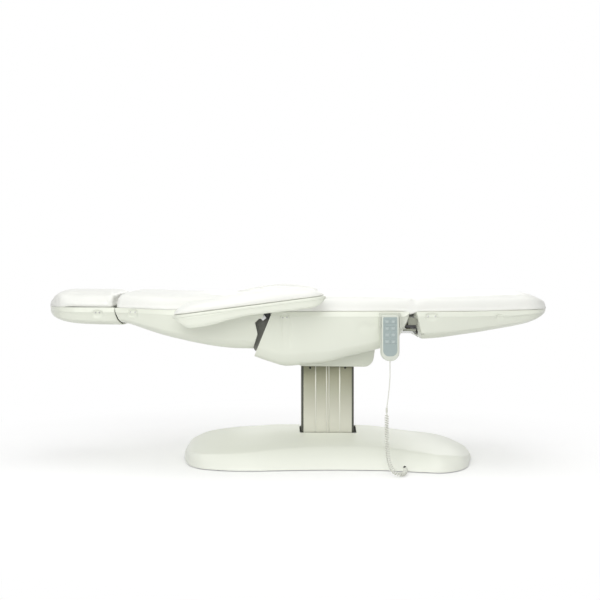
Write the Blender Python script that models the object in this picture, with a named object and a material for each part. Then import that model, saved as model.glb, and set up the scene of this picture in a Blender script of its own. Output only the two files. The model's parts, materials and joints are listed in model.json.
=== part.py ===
"""Electric treatment bed, lying flat at its lowest height.

Metres, +Z up. The leg end points along +X, and the user's hand control hangs
on the -Y side. The origin is on the floor, under the middle of the bed.
"""
import math

import bmesh
import bpy
from mathutils import Vector

# Fits that every piece shares
FIT = 0.0003            # gap that touching pieces keep
SLIDE_FIT = 0.0005      # radial gap of a pin or rod in its bore
CLEAR = 0.006           # gap between pieces that pass each other
OVERRUN = 0.020         # how far a cutter runs past the piece it cuts
ROUND_SIDES = 12
SHARP_ANGLE = math.radians(35.0)

# Upholstery: one seam height carries every cushion
SEAM_Z = 0.580
CUSHION_HEIGHT = 0.058
CUSHION_CROWN = 0.010
CUSHION_EDGE = 0.014
CUSHION_DRAW = 0.004
HALF_WIDTH = 0.305
SHELL_INSET = 0.003
SHELL_WALL = 0.004
BOARD_THICKNESS = 0.009
BOARD_INSET = 0.012
FRAME_HEIGHT = 0.030
FRAME_BAR = 0.008
CROSS_HEIGHT = 0.020
RAIL_Y = 0.194

# Places along the bed
HEAD_TIP_X = -0.931
HEAD_AXIS_X = -0.550
HEAD_AXIS_RISE = 0.016
HEAD_AXIS_Z = SEAM_Z + HEAD_AXIS_RISE
BACK_END_RADIUS = 0.095
HEAD_END_RADIUS = 0.102
BACK_HINGE_X = -0.094
BACK_HINGE_DROP = 0.001
BACK_HINGE_Z = SEAM_Z - BACK_HINGE_DROP
LEG_HINGE_DROP = 0.034
LEG_HINGE_Z = SEAM_Z - LEG_HINGE_DROP
LEG_CORNER_RADIUS = 0.090

# Ends of the cushions
BACK_CUSHION_END = 0.022
SEAT_CUSHION_END = 0.019
BACK_CUSHION_SLANT = math.tan(math.radians(52.0))
SEAT_CUSHION_SLANT = math.tan(math.radians(36.0))
LEG_CUSHION_GAP = 0.0010

# Headrest
HEAD_HALF_WIDTH = 0.226
BACK_HEAD_HALF_WIDTH = 0.265
HEAD_SHELL_DEPTH = 0.052
HEAD_ARM_Y = 0.100
HEAD_ARM_THICK = 0.006
HEAD_ARM_HEIGHT = 0.012
HEAD_PIN_RADIUS = 0.0055
HEAD_PAN_THICK = 0.004
HEAD_PAN_SHARE = 0.75
HEAD_POCKET_HEIGHT = 0.047
HEAD_SLOT_DEPTH = 0.039
HEAD_POCKET_REACH = 0.016

# Underside shells
SEAT_SHELL_X = -0.140
SEAT_SHELL_LENGTH = 0.557
SEAT_SHELL_DEPTH = 0.200
BACK_SHELL_X = HEAD_AXIS_X - BACK_END_RADIUS
BACK_SHELL_GAP = 0.016
BACK_SHELL_LENGTH = BACK_HINGE_X - BACK_SHELL_GAP - BACK_SHELL_X
BACK_SHELL_DEPTH = 0.139
SEAT_HINGE_GAP = 0.014
LEG_HINGE_GAP = 0.015
LEG_HINGE_X = SEAT_SHELL_X + SEAT_SHELL_LENGTH + SEAT_HINGE_GAP
LEG_SHELL_X = LEG_HINGE_X + LEG_HINGE_GAP
LEG_SHELL_LENGTH = 0.482
LEG_SHELL_DEPTH = 0.104
LEG_TIP_X = LEG_SHELL_X + LEG_SHELL_LENGTH + SHELL_INSET

# Column, cover of its head and its drive
COLUMN_X = 0.134
COLUMN_LENGTH = 0.200
COLUMN_WIDTH = 0.155
COLUMN_WALL = 0.004
COLUMN_CORNER = 0.008
COLUMN_TOP = 0.366
COLUMN_GROOVE = 0.003
COLUMN_GROOVE_DEPTH = 0.0015
INNER_LENGTH = 0.180
INNER_WIDTH = 0.135
INNER_BOTTOM = 0.056
GLIDE_HEIGHT = 0.030
LIFT_STROKE = 0.240
HEAD_PLATE_THICK = 0.006
HEAD_PLATE_Z = 0.372
HEAD_COVER_LEFT = -0.030
HEAD_COVER_RIGHT = 0.312
HEAD_COVER_HALF = 0.115
HEAD_COVER_BOTTOM = 0.360
HEAD_COVER_TOP = 0.432
HEAD_COVER_WALL = 0.003
HEAD_COVER_CLEAR = 0.008
BELLY_LEFT = -0.088
BELLY_RIGHT = 0.356
BELLY_HALF = 0.127
TILT_X = 0.137
TILT_Z = 0.446
TILT_LEVER = 0.070
TILT_PIN_RADIUS = 0.008
TILT_LUG_Y = 0.060
TILT_HANGER_Y = 0.074
LUG_THICK = 0.008

# Base
BASE_LEFT = -0.4155
BASE_LENGTH = 1.105
BASE_RIM_Z = 0.0055
BASE_HEIGHT = 0.128
BASE_HALF_WIDTH = 0.263
BASE_CREASE_HALF = 0.232
BASE_CREASE_HEIGHT = 0.077
BASE_WALL = 0.003
CUTOUT_LEFT_GAP = 0.006
CUTOUT_RIGHT_GAP = 0.009
CUTOUT_SIDE_GAP = 0.006
BASE_RAIL_Y = 0.202
BASE_RAIL_WIDTH = 0.025
BASE_RAIL_HEIGHT = 0.030
BASE_RAIL_Z = 0.0045
BASE_RAIL_START = 0.0975
BASE_RAIL_LEFT = BASE_LEFT + BASE_RAIL_START
BASE_RAIL_END = 0.0795
BASE_RAIL_RIGHT = BASE_LEFT + BASE_LENGTH - BASE_RAIL_END
OUTRIGGER_THICK = 0.004
OUTRIGGER_WIDTH = 0.040
OUTRIGGER_START = 0.066
OUTRIGGER_LEFT_X = BASE_RAIL_LEFT + OUTRIGGER_START
OUTRIGGER_END = 0.070
OUTRIGGER_RIGHT_X = BASE_RAIL_RIGHT - OUTRIGGER_END
FOOT_PLATE_HALF_X = 0.130
FOOT_PLATE_THICK = 0.010
FOOT_RADIUS = 0.020
FOOT_STEM_RADIUS = 0.005
FOOT_STEM_HEIGHT = 0.020
INLET_HALF = 0.014
INLET_TOP = 0.026
GLAND_X = 0.404
GLAND_Z = 0.0145
GLAND_RADIUS = 0.0055
GLAND_INNER_Y = -0.250
GLAND_OUTER_Y = -0.294
CONTROL_BOX_RIGHT = -0.200
CONTROL_BOX_LEFT = -0.355
CONTROL_BOX_HALF = 0.070
CONTROL_BOX_HEIGHT = 0.040

# Drives
LIFT_MOTOR_HALF_X = 0.040
LIFT_MOTOR_HALF_Y = 0.035
LIFT_MOTOR_HEIGHT = 0.035
LIFT_TUBE_RADIUS = 0.025
LIFT_TUBE_TOP = 0.330
LIFT_ROD_RADIUS = 0.015
LIFT_ROD_BOTTOM = 0.080
DRIVE_RADIUS = 0.017
DRIVE_ROD_RADIUS = 0.006
DRIVE_PIN_RADIUS = 0.004
DRIVE_EYE_HALF = 0.006
DRIVE_EYE_HEIGHT = 0.016
LEVER_THICK = 0.006
TILT_DRIVE_LENGTH = 0.135
BACK_DRIVE_Y = 0.150
BACK_DRIVE_DROP = 0.059
BACK_DRIVE_REACH = 0.054
BACK_DRIVE_LENGTH = 0.210
LEG_DRIVE_Y = -0.150
LEG_DRIVE_DROP = 0.050
LEG_DRIVE_REACH = 0.0289
LEG_DRIVE_LENGTH = 0.180
DRIVE_GAP = 0.028
BACK_SLOT_PLAY = 0.0048
LEG_SLOT_PLAY = 0.0016
TILT_SLOT_PLAY = 0.0010
DRIVE_SLOT_SHARE = 0.40
BACK_LEVER_RADIUS = 0.0125
LEG_LEVER_RADIUS = 0.010

# Hinges of the back and the legs
SHAFT_RADIUS = 0.006
SHAFT_HALF = 0.280
EAR_RADIUS = 0.009
EAR_THICK = 0.006
SEAT_EAR_Y = 0.273
MOVING_EAR_Y = 0.265
SEAT_FRAME_LEFT = -0.048
SEAT_FRAME_GAP = 0.035
SEAT_FRAME_RIGHT = LEG_HINGE_X - SEAT_FRAME_GAP
BACK_FRAME_LEFT = -0.564
BACK_FRAME_RIGHT = -0.132
LEG_FRAME_GAP = 0.039
LEG_FRAME_LEFT = LEG_HINGE_X + LEG_FRAME_GAP
LEG_FRAME_END = 0.131
LEG_FRAME_RIGHT = LEG_TIP_X - LEG_FRAME_END
SEAT_BOARD_LEFT = -0.030
SEAT_BOARD_GAP = 0.026
SEAT_BOARD_RIGHT = LEG_HINGE_X - SEAT_BOARD_GAP
BACK_BOARD_LEFT = -0.530
BACK_BOARD_RIGHT = -0.150
BACK_BOARD_HALF = 0.262
LEG_BOARD_GAP = 0.031
LEG_BOARD_LEFT = LEG_HINGE_X + LEG_BOARD_GAP
LEG_BOARD_END = 0.093
LEG_BOARD_RIGHT = LEG_TIP_X - LEG_BOARD_END
SEAT_CROSS_X = (0.083, 0.191)

# Armrests and their links
ARM_Y = 0.380
ARM_HALF = 0.045
ARM_REAR_X = -0.417
ARM_LENGTH = 0.5355
ARM_TILT = math.radians(7.4)
ARM_PAD_HEIGHT = 0.0588
ARM_SHELL_DEPTH = 0.051
ARM_WALL = 0.0035
ARM_PIVOT_X = -0.378
ARM_PIVOT_DEPTH = 0.021
ARM_PIVOT_Z = SEAM_Z - ARM_PIVOT_DEPTH
ARM_PIVOT_DROP = 0.007
ARM_REAR_Z = ARM_PIVOT_Z + ARM_PIVOT_DROP
ARM_SHAFT_RADIUS = 0.0065
ARM_PLATE_Y = 0.355
ARM_PLATE_REACH = 0.178
ARM_PLATE_DROP = 0.014
ARM_HUB_RADIUS = 0.0095
LINK_DX = -0.040
SEAT_LINK_DZ = -0.055
ARM_LINK_DZ = -0.060
LINK_Y = 0.225
LINK_THICK = 0.005
LINK_RADIUS = 0.008
LINK_PIN_RADIUS = 0.004
LINK_PLAY = 0.0024
LEVER_Y = 0.2335
BEARING_Y = 0.2425
ARM_LEVER_RADIUS = 0.0065
TILT_RANGE = math.radians(15.0)

# Hand control, its holder and its cord
HANDSET_LEFT = 0.3125
HANDSET_WIDTH = 0.0675
HANDSET_BOTTOM = 0.402
HANDSET_HEIGHT = 0.163
HANDSET_FACE_Y = -0.335
HANDSET_DEPTH = 0.022
HANDSET_WALL = 0.0023
HANDSET_TOP_RADIUS = 0.010
HANDSET_BOTTOM_RADIUS = 0.030
KEY_WIDTH = 0.015
KEY_HEIGHT = 0.013
KEY_RADIUS = 0.002
KEY_PLAY = 0.0004
KEY_PROUD = 0.0008
KEY_LENGTH = 0.0068
KEY_PITCH_X = 0.022
KEY_PITCH_Z = 0.0237
KEY_TOP_Z = 0.542
KEY_ROWS = 4
HOLDER_TOP = 0.572
HOLDER_BOTTOM = 0.519
HOLDER_CLIP = 0.0036
HOLDER_CLIP_REACH = 0.015
CORD_RADIUS = 0.0019
COIL_RADIUS = 0.0061
CURLS = 42
CURL_POINTS = 8
LEAD_POINTS = 22
ROUTE_STEPS = 24
TINY = 0.000001

MATERIALS = {
    "upholstery": ((0.86, 0.87, 0.83), 0.50, 0.0),
    "shell_plastic": ((0.79, 0.81, 0.75), 0.38, 0.0),
    "brushed_column": ((0.62, 0.62, 0.63), 0.30, 0.9),
    "steel_frame": ((0.42, 0.43, 0.45), 0.45, 0.8),
    "black_paint": ((0.03, 0.03, 0.03), 0.50, 0.1),
    "zinc_pin": ((0.60, 0.61, 0.62), 0.30, 1.0),
    "drive_plastic": ((0.12, 0.12, 0.13), 0.50, 0.0),
    "rod_steel": ((0.70, 0.71, 0.72), 0.22, 1.0),
    "plywood": ((0.62, 0.47, 0.30), 0.65, 0.0),
    "rubber": ((0.05, 0.05, 0.05), 0.80, 0.0),
    "handset_plastic": ((0.80, 0.82, 0.76), 0.40, 0.0),
    "key_plastic": ((0.88, 0.88, 0.86), 0.45, 0.0),
    "cord_sheath": ((0.78, 0.79, 0.72), 0.50, 0.0),
}


def clear_scene():
    """Start from an empty file."""
    for item in list(bpy.data.objects):
        bpy.data.objects.remove(item, do_unlink=True)


def material(name):
    """One Principled material for each finish, made once."""
    found = bpy.data.materials.get(name)
    if found:
        return found
    colour, roughness, metallic = MATERIALS[name]
    made = bpy.data.materials.new(name)
    made.use_nodes = True
    shader = made.node_tree.nodes["Principled BSDF"]
    shader.inputs["Base Color"].default_value = (*colour, 1.0)
    shader.inputs["Roughness"].default_value = roughness
    shader.inputs["Metallic"].default_value = metallic
    return made


def body(name, place=(0.0, 0.0, 0.0)):
    """An empty on a moving body's joint axis; its pieces are parented to it."""
    empty = bpy.data.objects.new("axis_" + name, None)
    empty.location = place
    bpy.context.scene.collection.objects.link(empty)
    return empty


def raw(bm, name="tool"):
    """A plain object from bmesh data given in world places."""
    bmesh.ops.recalc_face_normals(bm, faces=bm.faces)
    mesh = bpy.data.meshes.new(name)
    bm.to_mesh(mesh)
    bm.free()
    item = bpy.data.objects.new(name, mesh)
    bpy.context.scene.collection.objects.link(item)
    return item


def box(low, high):
    """A box between two corners."""
    bm = bmesh.new()
    bmesh.ops.create_cube(bm, size=1.0)
    for vert in bm.verts:
        for axis in range(3):
            share = vert.co[axis] + 0.5
            vert.co[axis] = low[axis] + share * (high[axis] - low[axis])
    return raw(bm)


def rod(start, end, radius, sides=ROUND_SIDES):
    """A round bar between two points."""
    start, end = Vector(start), Vector(end)
    run = end - start
    turn = run.to_track_quat("Z", "Y")
    bm = bmesh.new()
    rings = []
    for foot in (start, end):
        ring = []
        for step in range(sides):
            angle = 2.0 * math.pi * (step + 0.5) / sides
            spoke = Vector((math.cos(angle), math.sin(angle), 0.0)) * radius
            ring.append(bm.verts.new(foot + turn @ spoke))
        rings.append(ring)
    for step in range(sides):
        after = (step + 1) % sides
        bm.faces.new((rings[0][step], rings[0][after], rings[1][after], rings[1][step]))
    bm.faces.new(rings[0])
    bm.faces.new(rings[1])
    return raw(bm)


def plate(outline, axis, low, high):
    """A flat outline pulled along one axis; the outline is in the other two."""
    bm = bmesh.new()
    rings = []
    for level in (low, high):
        ring = []
        for first, second in outline:
            place = {
                "X": (level, first, second),
                "Y": (first, level, second),
                "Z": (first, second, level),
            }[axis]
            ring.append(bm.verts.new(place))
        rings.append(ring)
    count = len(outline)
    for step in range(count):
        after = (step + 1) % count
        bm.faces.new((rings[0][step], rings[0][after], rings[1][after], rings[1][step]))
    bm.faces.new(rings[0])
    bm.faces.new(rings[1])
    return raw(bm)


def rounded_outline(low, high, radii, steps=4):
    """A rectangle's outline; radii are for its four corners, from low-low on."""
    corners = (
        (low[0], low[1], 1.0, 1.0, 180.0),
        (high[0], low[1], -1.0, 1.0, 270.0),
        (high[0], high[1], -1.0, -1.0, 0.0),
        (low[0], high[1], 1.0, -1.0, 90.0),
    )
    points = []
    for (x, y, inward_x, inward_y, start), radius in zip(corners, radii):
        for step in range(steps + 1):
            angle = math.radians(start + 90.0 * step / steps)
            points.append((
                x + inward_x * radius + radius * math.cos(angle),
                y + inward_y * radius + radius * math.sin(angle),
            ))
    return points


def strap(first, second, radius, steps=4):
    """The outline of a flat link with round ends, in X and Z."""
    run = math.atan2(second[1] - first[1], second[0] - first[0])
    points = []
    for centre, start in ((second, run - 0.5 * math.pi), (first, run + 0.5 * math.pi)):
        for step in range(steps + 1):
            angle = start + math.pi * step / steps
            points.append((centre[0] + radius * math.cos(angle), centre[1] + radius * math.sin(angle)))
    return points


def combine(item, others, operation):
    """Join or cut one object by others, and keep the result as its mesh."""
    for other in others:
        modifier = item.modifiers.new("shape", "BOOLEAN")
        modifier.operation = operation
        modifier.solver = "EXACT"
        modifier.object = other
    bpy.context.view_layer.update()
    graph = bpy.context.evaluated_depsgraph_get()
    shaped = bpy.data.meshes.new_from_object(item.evaluated_get(graph))
    item.modifiers.clear()
    item.data = shaped
    for other in others:
        bpy.data.objects.remove(other, do_unlink=True)


def piece(name, finish, carrier, solids, cuts=(), smooth=True):
    """One finished piece: solids joined, cutters taken out, parented to its body."""
    item = solids[0]
    if len(solids) > 1:
        combine(item, solids[1:], "UNION")
    if cuts:
        combine(item, cuts, "DIFFERENCE")
    item.name = name
    item.data.name = name
    item.data.materials.clear()
    item.data.materials.append(material(finish))
    item.parent = carrier
    shift = Vector(carrier.location)
    for vert in item.data.vertices:
        vert.co -= shift
    if smooth:
        item.data.shade_smooth()
        item.data.set_sharp_from_angle(angle=SHARP_ANGLE)
    return item


def mix(first, second, share):
    """The value a share of the way from first to second."""
    return first + (second - first) * share


def add_ring(bm, points):
    """A ring of vertices, one for each place."""
    return [bm.verts.new(point) for point in points]


def skin(bm, first, second, closed):
    """The faces between two rings with the same count of vertices."""
    count = len(first)
    for step in range(count if closed else count - 1):
        after = (step + 1) % count
        bm.faces.new((first[step], first[after], second[after], second[step]))


def ladder(bm, ring):
    """Close a ring that is the same on both sides, rung by rung."""
    last = len(ring) - 1
    low, high = 0, last
    while high - low >= 3:
        bm.faces.new((ring[low], ring[low + 1], ring[high - 1], ring[high]))
        low += 1
        high -= 1
    if high - low == 2:
        bm.faces.new((ring[low], ring[low + 1], ring[high]))


# Half of a tub's cross-section, from its rim to the middle of its belly:
# shares of the half-width and of the depth
TUB_SHARES = (
    (1.0, 0.0), (1.0, 0.13), (0.972, 0.42), (0.925, 0.72),
    (0.845, 0.92), (0.72, 0.98), (0.40, 0.995), (0.0, 1.0),
)


def tub_ring(top_x, bottom_x, bulge, top_z, depth, half, wall):
    """One open ring of a tub, rim to rim; the rim itself stays level."""
    right = []
    for wide, deep in TUB_SHARES:
        x = mix(top_x, bottom_x, deep) - bulge * 4.0 * deep * (1.0 - deep)
        inner_depth = max(depth - wall, 0.5 * depth)
        right.append((x, wide * (half - wall), top_z - deep * inner_depth))
    left = [(x, -y, z) for x, y, z in right[:-1]]
    return left + right[::-1]


def tub(rows, middle, top_z, wall, closed_start=False, closed_end=False):
    """A thin open-topped shell from rows of top x, bottom x, bulge, depth, half-width."""
    bm = bmesh.new()
    outer = []
    inner = []
    for number, (top_x, bottom_x, bulge, depth, half) in enumerate(rows):
        shift = 0.0
        if closed_start and number == 0:
            shift = wall
        if closed_end and number == len(rows) - 1:
            shift = -wall
        outer.append(tub_ring(top_x, bottom_x, bulge, top_z, depth, half, 0.0))
        inner.append(tub_ring(top_x + shift, bottom_x + shift, bulge, top_z, depth, half, wall))
    outer = [add_ring(bm, [(x, y + middle, z) for x, y, z in ring]) for ring in outer]
    inner = [add_ring(bm, [(x, y + middle, z) for x, y, z in ring]) for ring in inner]
    for rings in (outer, inner):
        for first, second in zip(rings, rings[1:]):
            skin(bm, first, second, closed=False)
    for number in range(len(rows) - 1):
        for side in (0, -1):
            bm.faces.new((outer[number][side], outer[number + 1][side],
                          inner[number + 1][side], inner[number][side]))
    for end, closed in ((0, closed_start), (-1, closed_end)):
        if closed:
            ladder(bm, outer[end])
            ladder(bm, inner[end])
            bm.faces.new((outer[end][0], outer[end][-1], inner[end][-1], inner[end][0]))
        else:
            skin(bm, outer[end], inner[end], closed=False)
    return raw(bm)


# Half of a cushion's cross-section from its bottom corner to the middle of its
# crown: share of the half-width, draw-in share, share of the side height
CUSHION_SHARES = (
    (1.0, 1.0, 0.0), (1.0, 0.15, 0.28), (1.0, 0.0, 0.60), (1.0, 0.70, 0.86), (0.965, 1.0, 1.0),
)
CROWN_SHARES = (0.80, 0.50, 0.0)
END_PLACE_SHARES = (0.0, 0.02, 0.06)
END_PULL_SHARES = (1.0, 0.35, 0.0)
STATION_SHARES = (0.12, 0.88)
PULL_LIMIT_SHARE = 0.40
TIP_HEIGHT_SHARE = 0.40
ARM_SIDE_SHARE = 0.78


def cushion(start_face, end_face, half_at, height_at, middle=0.0, floor_at=None, stations=9):
    """A crowned pad between two end faces, each an x for a height, with drawn-in sides."""
    places = list(zip(END_PLACE_SHARES, END_PULL_SHARES))
    places += [(mix(*STATION_SHARES, step / (stations - 1.0)), 0.0) for step in range(stations)]
    places += [(1.0 - place, pull) for place, pull in places[2::-1]]
    profile = [(*shares, 0.0) for shares in CUSHION_SHARES]
    profile += [(wide, 1.0, 1.0, 1.0 - wide * wide) for wide in CROWN_SHARES]
    bm = bmesh.new()
    rings = []
    for place, share in places:
        middle_x = mix(start_face(SEAM_Z), end_face(SEAM_Z), place)
        floor = floor_at(middle_x) if floor_at else SEAM_Z
        rise, crown_height = height_at(middle_x)
        pull = min(share * CUSHION_EDGE, PULL_LIMIT_SHARE * rise)
        half_ring = []
        for wide, draw, tall, crown in profile:
            z = floor + tall * (rise - pull * tall) + crown * crown_height
            x = mix(start_face(z), end_face(z), place)
            y = wide * (half_at(x) - draw * CUSHION_DRAW - pull * tall)
            half_ring.append((x, y, z))
        ring = [(x, middle + y, z) for x, y, z in half_ring]
        ring += [(x, middle - y, z) for x, y, z in half_ring[-2::-1]]
        rings.append(add_ring(bm, ring))
    for first, second in zip(rings, rings[1:]):
        skin(bm, first, second, closed=True)
    ladder(bm, rings[0])
    ladder(bm, rings[-1])
    return raw(bm)


# Rows of the base cover: share of its length, bottom half-width, ridge height,
# crease half-width and crease height
BASE_SHARES = (
    (0.000, 0.140, 0.235, 0.130, 0.286),
    (0.010, 0.390, 0.406, 0.380, 0.468),
    (0.024, 0.630, 0.563, 0.630, 0.597),
    (0.052, 0.840, 0.695, 0.850, 0.675),
    (0.087, 0.960, 0.805, 0.965, 0.701),
    (0.192, 1.055, 0.930, 1.010, 0.779),
    (0.265, 1.060, 0.965, 0.960, 0.850),
    (0.333, 1.045, 1.000, 0.890, 0.922),
    (0.500, 1.005, 1.000, 0.797, 1.000),
    (0.652, 1.025, 0.961, 0.819, 0.987),
    (0.721, 1.070, 0.880, 0.890, 0.920),
    (0.789, 1.135, 0.789, 0.990, 0.831),
    (0.859, 1.190, 0.668, 1.110, 0.740),
    (0.929, 1.020, 0.516, 1.010, 0.620),
    (0.964, 0.740, 0.426, 0.750, 0.510),
    (0.985, 0.370, 0.320, 0.375, 0.390),
    (1.000, 0.110, 0.141, 0.100, 0.180),
)
# Points of the cover's cross-section from its rim to its crease, then to its ridge
WALL_SHARES = ((0.0, 0.0), (0.40, 0.50), (0.90, 0.94))
RIDGE_SHARES = ((0.96, 0.06), (0.84, 0.20), (0.62, 0.44), (0.33, 0.74), (0.0, 1.0))
CREASE_WIDE_SHARE = 0.97
CREASE_TALL_SHARE = 0.90


def base_ring(row, inset, shift):
    """One open ring of the base cover, rim over the ridge to rim."""
    place, bottom, ridge, crease_half, crease_height = row
    x = BASE_LEFT + place * BASE_LENGTH + shift
    half = bottom * BASE_HALF_WIDTH - inset
    crease_y = min(crease_half * BASE_CREASE_HALF - inset, CREASE_WIDE_SHARE * half)
    top = max(ridge * BASE_HEIGHT - inset, BASE_RIM_Z + inset)
    crease_z = min(crease_height * BASE_CREASE_HEIGHT - inset, CREASE_TALL_SHARE * top)
    crease_z = max(crease_z, BASE_RIM_Z + 0.5 * inset)
    right = [(mix(half, crease_y, inward), mix(BASE_RIM_Z, crease_z, rise)) for inward, rise in WALL_SHARES]
    right += [(wide * crease_y, mix(crease_z, top, rise)) for wide, rise in RIDGE_SHARES]
    left = [(x, -y, z) for y, z in right[:-1]]
    return left + [(x, y, z) for y, z in right[::-1]]


def make_base_cover(carrier):
    """The moulded floor cover: a thin waisted shell, open below, cut out round the column."""
    bm = bmesh.new()
    last = len(BASE_SHARES) - 1
    outer = []
    inner = []
    for number, row in enumerate(BASE_SHARES):
        shift = {0: BASE_WALL, last: -BASE_WALL}.get(number, 0.0)
        outer.append(add_ring(bm, base_ring(row, 0.0, 0.0)))
        inner.append(add_ring(bm, base_ring(row, BASE_WALL, shift)))
    for rings in (outer, inner):
        for first, second in zip(rings, rings[1:]):
            skin(bm, first, second, closed=False)
        ladder(bm, rings[0])
        ladder(bm, rings[-1])
    for number in range(last):
        for side in (0, -1):
            bm.faces.new((outer[number][side], outer[number + 1][side],
                          inner[number + 1][side], inner[number][side]))
    for end in (0, -1):
        bm.faces.new((outer[end][0], outer[end][-1], inner[end][-1], inner[end][0]))
    left = COLUMN_X - 0.5 * COLUMN_LENGTH - CUTOUT_LEFT_GAP
    right = COLUMN_X + 0.5 * COLUMN_LENGTH + CUTOUT_RIGHT_GAP
    side = 0.5 * COLUMN_WIDTH + CUTOUT_SIDE_GAP
    radii = (COLUMN_CORNER,) * 4
    opening = plate(rounded_outline((left, -side), (right, side), radii), "Z",
                    BASE_HEIGHT - OVERRUN - OVERRUN, BASE_HEIGHT + OVERRUN)
    inlet = box((BASE_LEFT - OVERRUN, -INLET_HALF - FIT, BASE_RIM_Z - OVERRUN),
                (BASE_LEFT + OVERRUN, INLET_HALF + FIT, INLET_TOP + FIT))
    gland = rod((GLAND_X, GLAND_OUTER_Y - OVERRUN, GLAND_Z),
                (GLAND_X, GLAND_INNER_Y + FIT, GLAND_Z), GLAND_RADIUS + FIT)
    piece("base_cover", "shell_plastic", carrier, [raw(bm)], [opening, inlet, gland])


def make_base_frame(carrier):
    """The welded floor frame with the plate that the column stands on."""
    rail_top = BASE_RAIL_Z + BASE_RAIL_HEIGHT
    solids = []
    for side in (-1.0, 1.0):
        near = side * BASE_RAIL_Y - 0.5 * BASE_RAIL_WIDTH
        far = side * BASE_RAIL_Y + 0.5 * BASE_RAIL_WIDTH
        solids.append(box((BASE_RAIL_LEFT, near, BASE_RAIL_Z), (BASE_RAIL_RIGHT, far, rail_top)))
    outrigger_low = BASE_RIM_Z - FIT - OUTRIGGER_THICK
    for x in (OUTRIGGER_LEFT_X, OUTRIGGER_RIGHT_X):
        half = min(base_half_at(x - 0.5 * OUTRIGGER_WIDTH), base_half_at(x + 0.5 * OUTRIGGER_WIDTH)) - FIT
        solids.append(box((x - 0.5 * OUTRIGGER_WIDTH, -half, outrigger_low),
                          (x + 0.5 * OUTRIGGER_WIDTH, half, BASE_RIM_Z - FIT)))
    plate_top = BASE_RAIL_Z + FOOT_PLATE_THICK
    solids.append(box((COLUMN_X - FOOT_PLATE_HALF_X, -BASE_RAIL_Y, BASE_RAIL_Z),
                      (COLUMN_X + FOOT_PLATE_HALF_X, BASE_RAIL_Y, plate_top)))
    holes = []
    for x, y in foot_places():
        holes.append(rod((x, y, 0.0), (x, y, foot_stem_top() + FIT), FOOT_STEM_RADIUS + FIT))
    piece("base_frame", "black_paint", carrier, solids, holes)


def foot_places():
    """The four feet, under the ends of the rails."""
    for x in (BASE_RAIL_LEFT + FOOT_RADIUS, BASE_RAIL_RIGHT - FOOT_RADIUS):
        for side in (-1.0, 1.0):
            yield x, side * BASE_RAIL_Y


def foot_stem_top():
    """The height that a foot's threaded stem reaches inside its rail."""
    return BASE_RAIL_Z + FOOT_STEM_HEIGHT


def make_feet(carrier):
    """Four levelling feet: a round pad with a stem screwed up into the rail."""
    for number, (x, y) in enumerate(foot_places(), start=1):
        pad = rod((x, y, 0.0), (x, y, BASE_RAIL_Z - FIT), FOOT_RADIUS)
        stem = rod((x, y, 0.5 * BASE_RAIL_Z), (x, y, foot_stem_top()), FOOT_STEM_RADIUS)
        piece("levelling_foot_%d" % number, "rubber", carrier, [pad, stem])


def tube_wall(length, width, wall, corner, low, high):
    """A rectangular tube round the column's axis, open at both ends."""
    def prism(inset, reach):
        half_x = 0.5 * length - inset
        half_y = 0.5 * width - inset
        radii = (max(corner - inset, 0.25 * corner),) * 4
        outline = rounded_outline((COLUMN_X - half_x, -half_y), (COLUMN_X + half_x, half_y), radii, 3)
        return plate(outline, "Z", low - reach, high + reach)
    return prism(0.0, 0.0), prism(wall, OVERRUN)


# Grooves between the column's panels: shares of its length
GROOVE_SHARES = (0.23, 0.46, 0.54, 0.77)


def make_column(base, lift):
    """Outer and inner lift tubes, and the glide ring between them."""
    bottom = BASE_RAIL_Z + FOOT_PLATE_THICK + FIT
    outer, bore = tube_wall(COLUMN_LENGTH, COLUMN_WIDTH, COLUMN_WALL, COLUMN_CORNER, bottom, COLUMN_TOP)
    cuts = [bore]
    for share in GROOVE_SHARES:
        x = COLUMN_X + (share - 0.5) * COLUMN_LENGTH
        for side in (-1.0, 1.0):
            face = side * 0.5 * COLUMN_WIDTH
            low = min(face - side * COLUMN_GROOVE_DEPTH, face + side * OVERRUN)
            high = max(face - side * COLUMN_GROOVE_DEPTH, face + side * OVERRUN)
            cuts.append(box((x - 0.5 * COLUMN_GROOVE, low, bottom - OVERRUN),
                            (x + 0.5 * COLUMN_GROOVE, high, COLUMN_TOP + OVERRUN)))
    piece("column_outer", "brushed_column", base, [outer], cuts)
    inner, bore = tube_wall(INNER_LENGTH, INNER_WIDTH, COLUMN_WALL, COLUMN_CORNER,
                            INNER_BOTTOM, HEAD_PLATE_Z - FIT)
    piece("column_inner", "brushed_column", lift, [inner], [bore])
    length = COLUMN_LENGTH - 2.0 * COLUMN_WALL - 2.0 * FIT
    width = COLUMN_WIDTH - 2.0 * COLUMN_WALL - 2.0 * FIT
    wall = 0.5 * (length - INNER_LENGTH) - SLIDE_FIT
    ring, bore = tube_wall(length, width, wall, COLUMN_CORNER - COLUMN_WALL,
                           COLUMN_TOP - GLIDE_HEIGHT, COLUMN_TOP)
    piece("column_glide", "drive_plastic", base, [ring], [bore])


def base_half_at(x):
    """The cover's half-width at its rim, at a place along the base."""
    return along(BASE_SHARES, (x - BASE_LEFT) / BASE_LENGTH, 1) * BASE_HALF_WIDTH


def frame_top():
    """The top face of the welded frames, under the boards."""
    return SEAM_Z - FIT - BOARD_THICKNESS - FIT


def plate_top():
    """The top of the base frame's middle plate."""
    return BASE_RAIL_Z + FOOT_PLATE_THICK


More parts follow.
